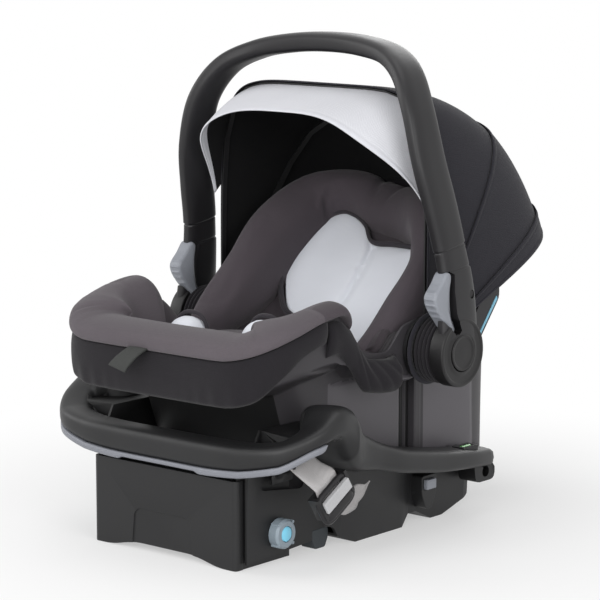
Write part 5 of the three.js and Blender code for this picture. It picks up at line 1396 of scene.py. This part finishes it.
def beside_adjuster(across, down, out):
    normal = -unit(np.cross(STRAP_ACROSS, STRAP_DOWN))
    return STRAP_AT + STRAP_ACROSS * across + STRAP_DOWN * down + normal * out


def power_loop(wide, high, squareness, count):
    turn = np.arange(count) / count * 2 * np.pi
    return np.stack([wide * power(np.cos(turn), squareness), high * power(np.sin(turn), squareness)], -1)


def ribbon(name, stations, width, thick, steps=70, ripple=0.0):
    """A flat strap through stations of (point, direction across): the points on one smooth curve, its face
    square to the curve, a little cupped."""
    path = spline(np.array([s[0] for s in stations], float), np.linspace(0, 1, steps))
    across = unit(spline(np.array([s[1] for s in stations], float), np.linspace(0, 1, steps)))
    ahead = unit(np.gradient(path, axis=0))
    across = unit(across - ahead * np.sum(across * ahead, -1, keepdims=True))
    normal = np.cross(ahead, across)
    w = np.linspace(-0.5, 0.5, 13)
    cup = ripple * np.sin(np.linspace(0, 9, steps))[:, None] * np.cos(w * 9)[None] - 0.5 * (2 * w[None]) ** 2
    top = path[:, None] + across[:, None] * (w * width)[None, :, None] + normal[:, None] * (thick / 2 + cup)[..., None]
    under = top - normal[:, None] * thick
    return closed_sheet(name, top, under)


# ---- Operators, one for each piece or group of like pieces ----
def colour_property(name, description, *written):
    """A colour that a user may change, its default written as display values of 0 to 255."""
    return FloatVectorProperty(name=name, description=description, subtype="COLOR", default=srgb(*written), min=0,
                               max=1)


def length_property(name, description, default, least, most):
    """A length in metres that a user may change between two limits."""
    return FloatProperty(name=name, description=description, default=default, min=least, max=most,
                         subtype="DISTANCE", unit="LENGTH")


class CarSeatSettings(bpy.types.PropertyGroup):
    """Sizes and colours that a user may change before building the pieces."""

    base_colour: colour_property("Base", "Plastic of the base", 28, 28, 29)
    shell_colour: colour_property("Seat shell", "Plastic of the seat's body", 54, 52, 55)
    handle_colour: colour_property("Handle", "Plastic of the carrying handle", 27, 26, 28)
    trim_colour: colour_property("Trim strip", "Grey strip under the rim", 122, 124, 131)
    accent_colour: colour_property("Accent", "Blue buttons", 128, 208, 236)
    cover_colour: colour_property("Front cover", "Padded cover of the rim", 86, 80, 85)
    roll_colour: colour_property("Body support", "Padded roll round the back", 72, 66, 71)
    skirt_colour: colour_property("Skirt", "Dark cloth under the covers", 31, 29, 32)
    canopy_colour: colour_property("Canopy", "Outside of the canopy", 38, 37, 43)
    insert_colour: colour_property("Inserts", "Pale back and leg inserts", 234, 237, 245)
    edge_round: length_property("Edge rounding", "Rounding of the rigid pieces' edges", 0.0008, 0.0002, 0.002)
    puff: length_property("Puff", "Furthest that a padded face may swell", 0.005, 0.0, 0.015)


def edge_mm():
    return bpy.context.scene.car_seat.edge_round * 1000


class CARSEAT_OT_finishes(bpy.types.Operator):
    """Make the plastics, cloths, webbing and steel"""

    bl_idname = "carseat.finishes"
    bl_label = "Finishes"

    def execute(self, context):
        make_finishes()
        return {"FINISHED"}


class CARSEAT_OT_base(bpy.types.Operator):
    """Make the base's moulding: its tub and ledges, the smooth rim over them, and the grey strip"""

    bl_idname = "carseat.base"
    bl_label = "Base moulding"

    def execute(self, context):
        tub = eased(welded("base_shell", "base_tub", shrink_rim), edge_mm())
        for name in ("Base plastic", "Painted shade plastic"):
            tub.data.materials.append(FINISHES[name])
        x, y, z = face_centres(tub).T
        flat = np.empty(len(tub.data.polygons) * 3)
        tub.data.polygons.foreach_get("normal", flat)
        nx, ny, _ = flat.reshape(-1, 3).T
        outward = ((nx * np.sign(x) > 0.3) & (np.abs(x) > 110)) | ((ny < -0.5) & (y < -215))
        outward &= (z < 118) | (y > -165)
        # Painted shade: faces inside the rim's opening that don't face outwards take the near-black plastic, so the
        # well reads dark.
        inner = ~outward & (np.abs(x) < np.where(y < -90, 170, 152)) & (y > -262) & (y < 200) & (z > 4)
        tub.data.polygons.foreach_set("material_index", inner.astype(int))
        settle(tub, "base_shell", "Base plastic")
        cover = [(-206, 92), (-206, 106), (-170, 106), (-170, 92)]
        patch = prism("belt_slot_panel", cover, FRONT_HALF - 1, FRONT_HALF + 0.8)
        settle(patch, (), "Base plastic", "base")
        settle(rim_surface(), "base_shell", "Base plastic")
        settle(stripe_surface(), "trim_stripe", "Trim plastic")
        return {"FINISHED"}


class CARSEAT_OT_base_fittings(bpy.types.Operator):
    """Make the level vials, the catch bars, the foot pads and the stowed connector"""

    bl_idname = "carseat.base_fittings"
    bl_label = "Base fittings"

    def execute(self, context):
        for side in ("right", "left"):
            for node, finish_name in ((f"vial_bezel_{side}", "Base plastic"), (f"level_vial_{side}", "Vial")):
                settle(eased(welded(node, f"{node}_dressed", lambda points: points + np.array([0, 0, 2.2])), 0.5, 3),
                       node, finish_name)
            rigid(f"foot_pad_{side}", "Slate plastic", 0.6)
        for name in ("catch_bar_front", "catch_bar_rear"):
            rigid(name, "Steel", 0.4)
        rigid("latch_connector", "Base plastic", edge_mm())
        rigid("connector_button", "Button plastic", 1.0, 3)
        return {"FINISHED"}


class CARSEAT_OT_foot(bpy.types.Operator):
    """Make the levelling foot with its racks, pinions, shaft and knobs"""

    bl_idname = "carseat.foot"
    bl_label = "Levelling foot"

    def execute(self, context):
        rigid("front_foot", "Base plastic", 1.2, 3)
        rigid("adjuster_shaft", "Steel", 0.3)
        for side in ("right", "left"):
            rigid(f"recline_rack_{side}", "Slate plastic", 0.3)
            rigid(f"pinion_{side}", "Pale plastic", 0.25)
            rigid(f"knob_{side}", "Knob plastic", 1.0, 3)
            rigid(f"knob_button_{side}", "Blue plastic", 0.7, 3)
        return {"FINISHED"}


class CARSEAT_OT_belt_strap(bpy.types.Operator):
    """Make the webbing out of the belt path, its tilt adjuster and the folded tail"""

    bl_idname = "carseat.belt_strap"
    bl_label = "Belt strap"

    def execute(self, context):
        across = STRAP_ACROSS
        level = (0.1, 1, 0.1)
        strap = [
            ((146, -211, 150), level), ((150, -209, 140), level), ((158, -209, 130), (0.1, 1, 0.15)),
            ((172, -203, 117), (0, 0.95, 0.3)), (beside_adjuster(0, -21, -1), across),
            (beside_adjuster(0, -14, -1), across), (beside_adjuster(0, -3, -1.2), across),
        ]
        made = ribbon("latch_strap_dressed", strap, 38, 1.8, 90, 0.5)
        settle(made, "latch_strap", "Grey webbing")
        tail = [
            (beside_adjuster(0, 3, -1.3), across), (beside_adjuster(0, 10, -2), across),
            ((184, -163, 76), (0, 0.75, 0.6)), ((182, -148, 71), (0.1, 0.5, 0.85)), ((178, -130, 73), (0, 0.3, 0.95)),
            ((172, -112, 70), (0.3, 0.2, 0.9)), ((166, -98, 73), (0.5, 0.1, 0.85)),
        ]
        made = ribbon("strap_tail_dressed", tail, 30, 1.8, 90, 1.1)
        settle(made, "strap_tail", "Tail webbing")

        loop = power_loop(27, 17, 5, 120)
        loop = beside_adjuster(loop[:, :1], loop[:, 1:] + 5, 2.5 + 0 * loop[:, :1])
        frame_bar = piping("adjuster_frame", loop, 3.6, closed=True)
        t = np.linspace(-0.5, 0.5, 21)[:, None]
        size = np.cos(t * np.pi * 0.98) ** 0.18
        ring = power_loop(25, 6, 5, 48)
        flap = beside_adjuster((ring[:, 0] * size)[..., None], (ring[:, 1] * size)[..., None] + 15,
                               (4.5 + 7 * t + 0 * ring[:, 0])[..., None])
        flap = facing_out(grid_object("adjuster_flap", flap, ring=True, poles=(True, True)))
        made = joined("adjuster_frame", [frame_bar, flap])
        made.data.materials.clear()
        settle(made, (), "Handle plastic", "base")

        def fuller(points):
            return STRAP_AT + (points - STRAP_AT) * 1.13

        def forward(points):
            return STRAP_AT + (points - STRAP_AT) * 1.16 + beside_adjuster(0, -1, 4) - STRAP_AT

        for node, finish_name, width in (("strap_adjuster", "Base plastic", 0.7),
                                         ("adjuster_plate", "Pale plastic", 1.1)):
            settle(eased(welded(node, f"{node}_dressed", forward if node == "adjuster_plate" else fuller), width, 3),
                   node, finish_name)
        return {"FINISHED"}


class CARSEAT_OT_seat_shell(bpy.types.Operator):
    """Make the seat's double-skinned shell"""

    bl_idname = "carseat.seat_shell"
    bl_label = "Seat shell"

    def execute(self, context):
        made = seat_shell_surface()
        for name in ("Carrier shell plastic", "Side panel plastic", "Painted shade plastic", "Rear panel plastic"):
            made.data.materials.append(FINISHES[name])
        x, y, z = face_centres(made).T
        side = (np.abs(x) > 112) & (z > 70) & (z < 212)
        kind = np.zeros(len(x), int)
        kind[side & (y > -115) & (y < 15) & (z < 196)] = 1
        # Index 2 is painted shade: near black in the deep side channel, all but its rib.
        kind[side & (y > 17) & (y < 43.5) & (np.abs(y - 30.5) > 2)] = 2
        kind[side & (y > 62) & (y < 165)] = 3
        # Painted shade on the nose's front under the flange.
        kind[(y < -165) & (np.abs(x) < 104) & (z < 205)] = 2
        made.data.polygons.foreach_set("material_index", kind)
        settle(made, "seat_shell", "Carrier shell plastic")
        made.data.set_sharp_from_angle(angle=math.radians(50))
        return {"FINISHED"}


class CARSEAT_OT_linings(bpy.types.Operator):
    """Make the foam liner and the seat pad over it"""

    bl_idname = "carseat.linings"
    bl_label = "Liner and pad"

    def execute(self, context):
        liner = lining("foam_liner_dressed", 0.5, LINER, 0.9, lambda turn, v: 0 * turn)
        settle(liner, "foam_liner", "Foam")

        def quilt(turn, v):
            return 0.8 * waves(turn * 90, v * 160, 0, 4, 20) - 1.4 * bump(v, 0.62, 0.012)

        pad = lining("seat_pad_dressed", LINER + 0.5, PAD_FACE, 0.86, quilt)
        settle(pad, "seat_pad", "Pad cloth")
        return {"FINISHED"}


class CARSEAT_OT_body_support(bpy.types.Operator):
    """Make the padded roll that runs from one hip round the head to the other, with its raised front"""

    bl_idname = "carseat.body_support"
    bl_label = "Body support"

    def execute(self, context):
        thigh = cushion_surface("thigh", (-112, 112), (-172, -40), (150, 240))
        made = joined("body_support_dressed", [roll_surface(), thigh])
        made = puffed(made, 5.0, context.scene.car_seat.puff * 1000)
        points = points_of(made)
        x, y, z = points.T
        head = smooth(y, 120, 150) * smooth(z, 330, 345)
        valley = bump(np.abs(x) - (y - 150) * 0.25, 16, 5) * head
        points[:, 2] -= 5.0 * valley
        points += (waves(x, y, z, 2, 30) * 0.8)[:, None] * np.array([0, -0.6, 0.8])
        set_points(made, points)
        subdivided(made)
        settle(made, "body_support", "Roll cloth")
        return {"FINISHED"}


class CARSEAT_OT_leg_inserts(bpy.types.Operator):
    """Make the two pale leg cushions with their dark piping"""

    bl_idname = "carseat.leg_inserts"
    bl_label = "Leg inserts"

    def execute(self, context):
        for side, sign in (("right", 1), ("left", -1)):
            x = (29, 83) if sign > 0 else (-89, -35)
            lift = 8 if sign > 0 else 0
            middle = 56 if sign > 0 else -62
            made = cushion_surface(f"leg_insert_{side}_dressed", x, (-177, -127), (172 + lift, 261 + lift))
            made = puffed(made, 4.0, 3.0)
            subdivided(made)
            settle(made, f"leg_insert_{side}", "Pale cloth")
            turn = np.linspace(0, 2 * math.pi, 90, endpoint=False)
            c, s = power(np.cos(turn), 2.6), power(np.sin(turn), 2.6)
            path = np.stack([middle + 28.6 * c, -146 + 2 * s + 0 * c, 217.5 + lift + 47.4 * s], -1)
            cord = piping(f"leg_piping_{side}", path, 2.5, closed=True)
            settle(cord, (), "Piping cloth", body_of(f"leg_insert_{side}"))
        return {"FINISHED"}


class CARSEAT_OT_center_insert(bpy.types.Operator):
    """Make the pale two-lobed back insert and the piping round it"""

    bl_idname = "carseat.center_insert"
    bl_label = "Back insert"

    def execute(self, context):
        made = settle(heart_surface(), "center_insert", "Pale cloth")
        cord = heart_piping()
        settle(cord, (), "Piping cloth", body_of("center_insert"))
        return {"FINISHED"}


class CARSEAT_OT_front_cover(bpy.types.Operator):
    """Make the padded cover of the rim round the foot end"""

    bl_idname = "carseat.front_cover"
    bl_label = "Front cover"

    def execute(self, context):
        made = settle(front_cover_surface(), "front_cover", "Taupe cloth")
        return {"FINISHED"}


class CARSEAT_OT_skirts(bpy.types.Operator):
    """Make the dark skirt under the front cover and the loose covers of the sides"""

    bl_idname = "carseat.skirts"
    bl_label = "Skirt and side covers"

    def execute(self, context):
        turn = np.linspace(math.pi + 3 * math.pi / 18, 2 * math.pi - 3 * math.pi / 18, 240)

        def hanging(a, t):
            return 6 + 9 * swell(0.12 + t * 0.72, 0.6)

        def soft_folds(a, t, x, y, z):
            low = 1 - smooth(t, 0.1, 0.7)
            at_corner = bump(np.abs(a - 1.5 * math.pi), 0.75, 0.3)
            return 0.9 * waves(x, y, z * 0.6, 7, 26) + 0.8 * low * np.sin(a * 60) * at_corner

        made = hung_cloth("front_skirt_dressed", turn, 0, lambda rim: lerp(53, 27, smooth(rim, 248, 276)), hanging,
                          soft_folds)
        settle(made, "front_skirt", "Black cloth")
        first, last = -2.9 * math.pi / 18, -0.4 * math.pi / 18
        for side in ("right", "left"):
            turn = np.linspace(first, last, 110)
            if side == "left":
                turn = np.linspace(math.pi - last, math.pi - first, 110)

            def along(a):
                return np.clip(((a if side == "right" else math.pi - a) - first) / (last - first), 0, 1)

            def loose(a, t):
                pocket = smooth(along(a), 0.35, 1.0)
                return 4 + 6 * swell(t, 0.7) + 16 * pocket * swell(t * 0.8 + 0.1, 0.6)

            def pleats(a, t, x, y, z):
                s = along(a)
                fan = np.abs(np.sin((s + (t - 0.5) * 0.3 + 0.05 * waves(x, y, z, 3, 40)) * 19)) ** 1.3
                return 2.2 * (fan - 0.5) * smooth(s, 0.3, 0.6) * swell(t, 0.6) + 0.8 * waves(x, y, z, 9, 14)

            made = hung_cloth(f"side_cover_{side}_dressed", turn, 6, lambda rim: 46 + 0 * rim, loose, pleats)
            settle(made, f"side_cover_{side}", "Black cloth")
        return {"FINISHED"}


class CARSEAT_OT_pull_tab(bpy.types.Operator):
    """Make the strap tab that hangs out of the front of the cover"""

    bl_idname = "carseat.pull_tab"
    bl_label = "Pull tab"

    def execute(self, context):
        stations = [
            ((-14, -285, 247), (1, 0, 0)), ((-14, -292, 245), (1, 0, 0.02)), ((-16, -303, 239), (1, 0.05, 0.05)),
            ((-19, -313, 230), (1, 0.1, 0.08)), ((-20, -316, 226), (1, 0.1, 0.08)),
        ]
        made = ribbon("adjuster_strap_dressed", stations, 28, 2, 40)
        settle(made, "adjuster_strap", "Black webbing")
        return {"FINISHED"}


class CARSEAT_OT_side_fittings(bpy.types.Operator):
    """Make the pivot bosses, the side plates with their coloured lines, and the release lever"""

    bl_idname = "carseat.side_fittings"
    bl_label = "Side fittings"

    def execute(self, context):
        for side in ("right", "left"):
            rigid(f"pivot_boss_{side}", "Hub plastic", 0.8)
            rigid(f"side_plate_{side}", "Plate plastic", 1.0, 3)
            rigid(f"accent_line_{side}", "Line plastic", 0.3)
            low, high = HOOD_HALF + 3.5, HUB_BACK - 1.5
            turn, share = np.broadcast_arrays(np.arange(120)[None] / 120 * 2 * np.pi, np.linspace(0, 1, 60)[:, None])
            ends = np.sqrt(np.clip(1 - (1 - np.clip(np.minimum(share, 1 - share) / 0.08, 0, 1)) ** 2, 0, 1))
            wander = 0.9 * waves(np.cos(turn) * 40, np.sin(turn) * 40, share * 20, 4, 22)
            pleat = np.abs(np.sin(share * 13 + wander)) ** 0.7
            radius = BOSS_R + 0.6 + ends * (1.2 + 3.6 * pleat)
            sign = 1 if side == "right" else -1
            rows = np.stack([sign * lerp(low, high, share), PIVOT[0] + radius * np.cos(turn),
                             PIVOT[1] + radius * np.sin(turn)], -1)
            inner = np.stack([sign * lerp(high, low, share), PIVOT[0] + (BOSS_R + 0.3) * np.cos(turn),
                              PIVOT[1] + (BOSS_R + 0.3) * np.sin(turn)], -1)
            sleeve = facing_out(grid_object(f"boss_sleeve_{side}", np.concatenate([rows, inner]), ring=True, tube=True))
            settle(sleeve, (), "Black cloth", "carrier")
        rigid("release_lever", "Trim plastic", 1.5, 3)
        return {"FINISHED"}


class CARSEAT_OT_canopy(bpy.types.Operator):
    """Make the canopy's nested cloths and the visor"""

    bl_idname = "carseat.canopy"
    bl_label = "Canopy"

    def layer(self, name, node, backs, depth_of, outside, held, turn=None, thick=1.2, extra=()):
        turn = np.linspace(ARCH_END, math.pi - ARCH_END, 150) if turn is None else turn
        grid_turn = np.broadcast_to(turn[None], (backs.shape[0], len(turn)))
        grid_back = np.broadcast_to(backs if backs.ndim == 2 else backs[:, None], grid_turn.shape)
        depth = depth_of(grid_turn, grid_back)
        made, lined = hood_sheet(name, grid_turn, grid_back, depth, thick)
        for finish_name in (outside, "Canopy lining"):
            made.data.materials.append(FINISHES[finish_name])
        made.data.polygons.foreach_set("material_index", lined)
        if extra:
            made = joined(name, [made, *extra])
        settle(made, node, outside)
        top = hood_layer(grid_turn, grid_back, depth)
        return made

    def execute(self, context):
        def hem(back, at, side):
            return -0.7 * bump(back, at + side * 0.9, 0.55) + 0.3 * bump(back, at + side * 1.9, 0.12)

        def sag(turn, back, low, high):
            upper = smooth(np.sin(turn), 0.3, 0.8)
            return 1.2 * swell((back - low) / (high - low)) * (0.4 + 0.6 * upper) + 0.35 * waves(turn * 120, back * 4,
                                                                                                 0 * turn, 11, 26)

        rings = []
        for sign in (1, -1):
            profile = [(HOOD_HALF - 1.2, 34.3), (HOOD_HALF, 34.3), (HOOD_HALF + 0.3, 38), (HOOD_HALF, 43),
                       (HOOD_HALF - 1.2, 43)]
            profile = np.array(profile) * np.array([sign, 1])
            turn = np.arange(72) / 72 * 2 * np.pi
            x = np.repeat(profile[:, :1], 72, 1)
            points = np.stack([x, PIVOT[0] + profile[:, 1:] * np.cos(turn), PIVOT[1] + profile[:, 1:] * np.sin(turn)],
                              -1)
            ring = facing_out(grid_object("eyelet", points, ring=True, tube=True))
            ring.data.materials.append(FINISHES["Canopy cloth"])
            rings.append(ring)
        backs = np.linspace(61, 68, 30)
        self.layer("canopy_rear_dressed", "canopy_rear", backs, lambda a, b: hem(b, 61, 1) + hem(b, 68, -1),
                   "Canopy cloth", "stretched", extra=rings)
        backs = np.linspace(33, 67, 70)
        self.layer("canopy_mid_dressed", "canopy_mid", backs,
                   lambda a, b: HOOD_STEP + sag(a, b, 34, 67) + hem(b, 33, 1), "Canopy cloth", "stretched")
        backs = np.linspace(0, 34, 70)
        self.layer("canopy_front_dressed", "canopy_front", backs,
                   lambda a, b: 2 * HOOD_STEP + sag(a, b, 0, 34) + hem(b, 0, 1), "Canopy cloth", "stretched")
        turn = np.linspace(0.38, math.pi - 0.38, 170)
        turn, share = np.broadcast_arrays(turn[None], np.linspace(0, 1, 48)[:, None])
        brim = 2.2 * swell(share) * (0.5 + waves(turn * 60, share * 40, 0 * turn, 5, 30))
        brim = brim - 0.7 * bump(share, 0.035, 0.03) + 0.35 * bump(share, 0.09, 0.008) + 0.5 * waves(turn * 110,
                                                                                                     share * 60,
                                                                                                     0 * turn, 8, 14)
        made, lined = hood_sheet("visor_dressed", turn, share, brim, 1.4, visor_layer)
        for name in ("Visor cloth", "Canopy lining"):
            made.data.materials.append(FINISHES[name])
        rows = np.minimum(np.arange(len(lined)) // (2 * turn.shape[1]), 46)
        made.data.polygons.foreach_set("material_index", lined * (rows > 8))
        settle(made, "visor", "Visor cloth")
        top = visor_layer(turn, share, brim)
        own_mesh(made)
        for name in ("bow_mid", "bow_front"):
            rigid(name, "Base plastic", 0.4)
        return {"FINISHED"}


class CARSEAT_OT_handle(bpy.types.Operator):
    """Make the handle's bar with its sleeves and hubs, cut for the thumb releases"""

    bl_idname = "carseat.handle"
    bl_label = "Handle"

    def execute(self, context):
        bar = handle_bar_surface()
        bar.data.materials.append(FINISHES["Handle plastic"])
        pocket = grown(RELEASE, 0.9)
        tools = []
        for sign in (1, -1):
            for shift in (0, 4):
                low, high = sorted((sign * (HUB_FACE - 36), sign * (HUB_FACE + 8)))
                tools.append(prism("cutter", pocket + np.array([shift, 0]), low, high))
            low, high = sorted((sign * (HUB_BACK - 40), sign * (HUB_BACK + 0.1)))
            rows = [(low, 0.4), (low, HUB_R + 2), (high, HUB_R + 2), (high, 0.4)]
            tools.append(turned_body("cutter", rows, *PIVOT))
            low, high = sorted((sign * (HUB_FACE - 12), sign * (HUB_FACE + 1)))
            rows = [(low, 0.3), (low, 5.3), (high, 5.3), (high, 0.3)]
            tools.append(turned_body("cutter", rows, PIVOT[0] + 21, PIVOT[1] + 67, 40))
        parts = [bar]
        for sign in (1, -1):
            profile = hub_profile() * np.array([sign, 1])
            hub = turned_body("hub", profile, *PIVOT, 128)
            hub.data.materials.append(FINISHES["Hub plastic"])
            parts.append(hub)
        for k, part in enumerate(parts):
            for tool in tools if k == 0 else [t for n, t in enumerate(tools) if n % 4 < 2 and n // 4 == k - 1]:
                cut = part.modifiers.new("Cut", "BOOLEAN")
                cut.operation = "DIFFERENCE"
                cut.solver = "EXACT"
                cut.object = tool
                baked(part)
        for tool in tools:
            bpy.data.objects.remove(tool)
        if min(len(part.data.vertices) for part in parts) < 1500:
            raise RuntimeError("the handle lost its surface in a cut")
        made = joined("handle_bar_dressed", parts)
        made.data.polygons.foreach_set("use_smooth", np.ones(len(made.data.polygons), bool))
        made.data.set_sharp_from_angle(angle=math.radians(38))
        settle(made, "handle_bar", "Handle plastic")
        return {"FINISHED"}


class CARSEAT_OT_handle_fittings(bpy.types.Operator):
    """Make the hub caps, the thumb releases and the screws"""

    bl_idname = "carseat.handle_fittings"
    bl_label = "Handle fittings"

    def execute(self, context):
        for side, sign in (("right", 1), ("left", -1)):
            cap = turned_body(f"hub_cap_{side}_dressed", cap_profile() * np.array([sign, 1]), *PIVOT, 96)
            cap.data.set_sharp_from_angle(angle=math.radians(50))
            settle(cap, f"hub_cap_{side}", "Hub plastic")
            rows = release_surface() * np.array([sign, 1, 1])
            pad = facing_out(grid_object(f"release_button_{side}_dressed", rows, ring=True, poles=(True, True)))
            settle(pad, f"release_button_{side}", "Button plastic")
            rigid(f"handle_screw_{side}", "Hub plastic", 0.4)
        return {"FINISHED"}


def seen_ray(tree, path):
    """1 on rays from the camera, or by way of a mirror or glass; 0 on rays that carry light."""
    reflected = maths(tree, "MAXIMUM", path.outputs["Is Glossy Ray"], path.outputs["Is Transmission Ray"])
    return maths(tree, "MAXIMUM", path.outputs["Is Camera Ray"], reflected)


class CARSEAT_OT_stage(bpy.types.Operator):
    """Make the floor, the soft lights and the camera"""

    bl_idname = "carseat.stage"
    bl_label = "Stage"

    def execute(self, context):
        scene = context.scene
        low = CAD_BOX[0][2] if hasattr(CAD_BOX[0], "__len__") else 0.0
        mesh = bpy.data.meshes.new("floor")
        mesh.from_pydata([(-8, -8, low - 0.0005), (8, -8, low - 0.0005), (8, 8, low - 0.0005), (-8, 8, low - 0.0005)],
                         [], [(0, 1, 2, 3)])
        floor = bpy.data.objects.new("floor", mesh)
        scene.collection.objects.link(floor)
        material = bpy.data.materials.new("Floor")
        material.use_nodes = True
        tree = material.node_tree
        tree.nodes.clear()
        shaded = put(tree, "ShaderNodeBsdfPrincipled",
                     [("Base Color", (0.9, 0.9, 0.9, 1)), ("Roughness", 1.0), ("Specular IOR Level", 0.0)])
        white = put(tree, "ShaderNodeEmission", [("Color", (1, 1, 1, 1)), ("Strength", 1.0)])
        path = put(tree, "ShaderNodeLightPath")
        seen = seen_ray(tree, path)
        place = put(tree, "ShaderNodeTexCoord").outputs["Object"]
        away = put(tree, "ShaderNodeVectorMath", [(0, place)], operation="LENGTH").outputs["Value"]
        far = put(tree, "ShaderNodeMapRange", [("Value", away), (1, 0.2), (2, 0.75), (3, 0.45), (4, 1.0)],
                  interpolation_type="SMOOTHSTEP").outputs[0]
        mix = put(tree, "ShaderNodeMixShader", [(0, maths(tree, "MULTIPLY", seen, far))])
        tree.links.new(shaded.outputs[0], mix.inputs[1])
        tree.links.new(white.outputs[0], mix.inputs[2])
        put(tree, "ShaderNodeOutputMaterial", [("Surface", mix.outputs[0])])
        mesh.materials.append(material)

        world = bpy.data.worlds.new("Studio")
        scene.world = world
        world.use_nodes = True
        tree = world.node_tree
        tree.nodes.clear()
        lit = put(tree, "ShaderNodeBackground", [("Color", (1, 1, 1, 1)), ("Strength", 0.36)])
        behind = put(tree, "ShaderNodeBackground", [("Color", (1, 1, 1, 1)), ("Strength", 1.0)])
        path = put(tree, "ShaderNodeLightPath")
        seen = seen_ray(tree, path)
        mix = put(tree, "ShaderNodeMixShader", [(0, seen)])
        tree.links.new(lit.outputs[0], mix.inputs[1])
        tree.links.new(behind.outputs[0], mix.inputs[2])
        put(tree, "ShaderNodeOutputWorld", [("Surface", mix.outputs[0])])

        target = Vector((0, -0.02, 0.27))
        for name, place, size, energy in (
            ("Key", (0.0, -3.0, 1.7), 2.2, 34), ("Front", (1.5, -2.9, 1.15), 1.6, 34),
            ("Side", (2.9, -1.2, 1.1), 1.8, 32),
            ("Top", (0.0, 0.1, 2.8), 1.6, 13), ("Left", (-2.4, -1.2, 1.3), 1.4, 18),
            ("Back", (-1.2, 2.6, 1.7), 1.4, 16),
        ):
            lamp = bpy.data.lights.new(name, "AREA")
            lamp.shape = "SQUARE"
            lamp.size = size
            lamp.energy = energy
            held = bpy.data.objects.new(name, lamp)
            held.location = place
            held.rotation_euler = (target - Vector(place)).to_track_quat("-Z", "Y").to_euler()
            scene.collection.objects.link(held)

        lens = bpy.data.cameras.new("Camera")
        lens.lens = 149.8
        lens.sensor_width = 36
        lens.clip_end = 40
        camera = bpy.data.objects.new("Camera", lens)
        aim = Vector((0, -0.0181, 0.2699))
        turn, rise = math.radians(40.31), math.radians(9.225)
        back = Vector((math.sin(turn) * math.cos(rise), -math.cos(turn) * math.cos(rise), math.sin(rise)))
        camera.location = aim + back * 3.0344
        camera.rotation_euler = back.to_track_quat("Z", "Y").to_euler()
        scene.collection.objects.link(camera)
        scene.camera = camera
        scene.view_settings.view_transform = "Standard"
        return {"FINISHED"}


STEPS = (
    CARSEAT_OT_finishes, CARSEAT_OT_stage, CARSEAT_OT_base, CARSEAT_OT_base_fittings, CARSEAT_OT_foot,
    CARSEAT_OT_belt_strap, CARSEAT_OT_seat_shell, CARSEAT_OT_linings, CARSEAT_OT_body_support,
    CARSEAT_OT_leg_inserts, CARSEAT_OT_center_insert, CARSEAT_OT_front_cover, CARSEAT_OT_skirts,
    CARSEAT_OT_pull_tab, CARSEAT_OT_side_fittings, CARSEAT_OT_canopy, CARSEAT_OT_handle,
    CARSEAT_OT_handle_fittings,
)


class CARSEAT_PT_panel(bpy.types.Panel):
    """The car seat's sizes, colours and pieces"""

    bl_idname = "CARSEAT_PT_panel"
    bl_label = "Infant car seat"
    bl_space_type = "VIEW_3D"
    bl_region_type = "UI"
    bl_category = "Car Seat"

    def draw(self, context):
        column = self.layout.column(align=True)
        for name in CarSeatSettings.__annotations__:
            column.prop(context.scene.car_seat, name)
        column = self.layout.column(align=True)
        for step in STEPS:
            column.operator(step.bl_idname)


def register():
    bpy.utils.register_class(CarSeatSettings)
    for step in STEPS:
        bpy.utils.register_class(step)
    bpy.utils.register_class(CARSEAT_PT_panel)
    bpy.types.Scene.car_seat = PointerProperty(type=CarSeatSettings)


def unregister():
    del bpy.types.Scene.car_seat
    bpy.utils.unregister_class(CARSEAT_PT_panel)
    for step in reversed(STEPS):
        bpy.utils.unregister_class(step)
    bpy.utils.unregister_class(CarSeatSettings)


def main():
    register()
    for step in STEPS:
        getattr(bpy.ops.carseat, step.bl_idname.split(".")[1])()


if __name__ == "__main__":
    main()
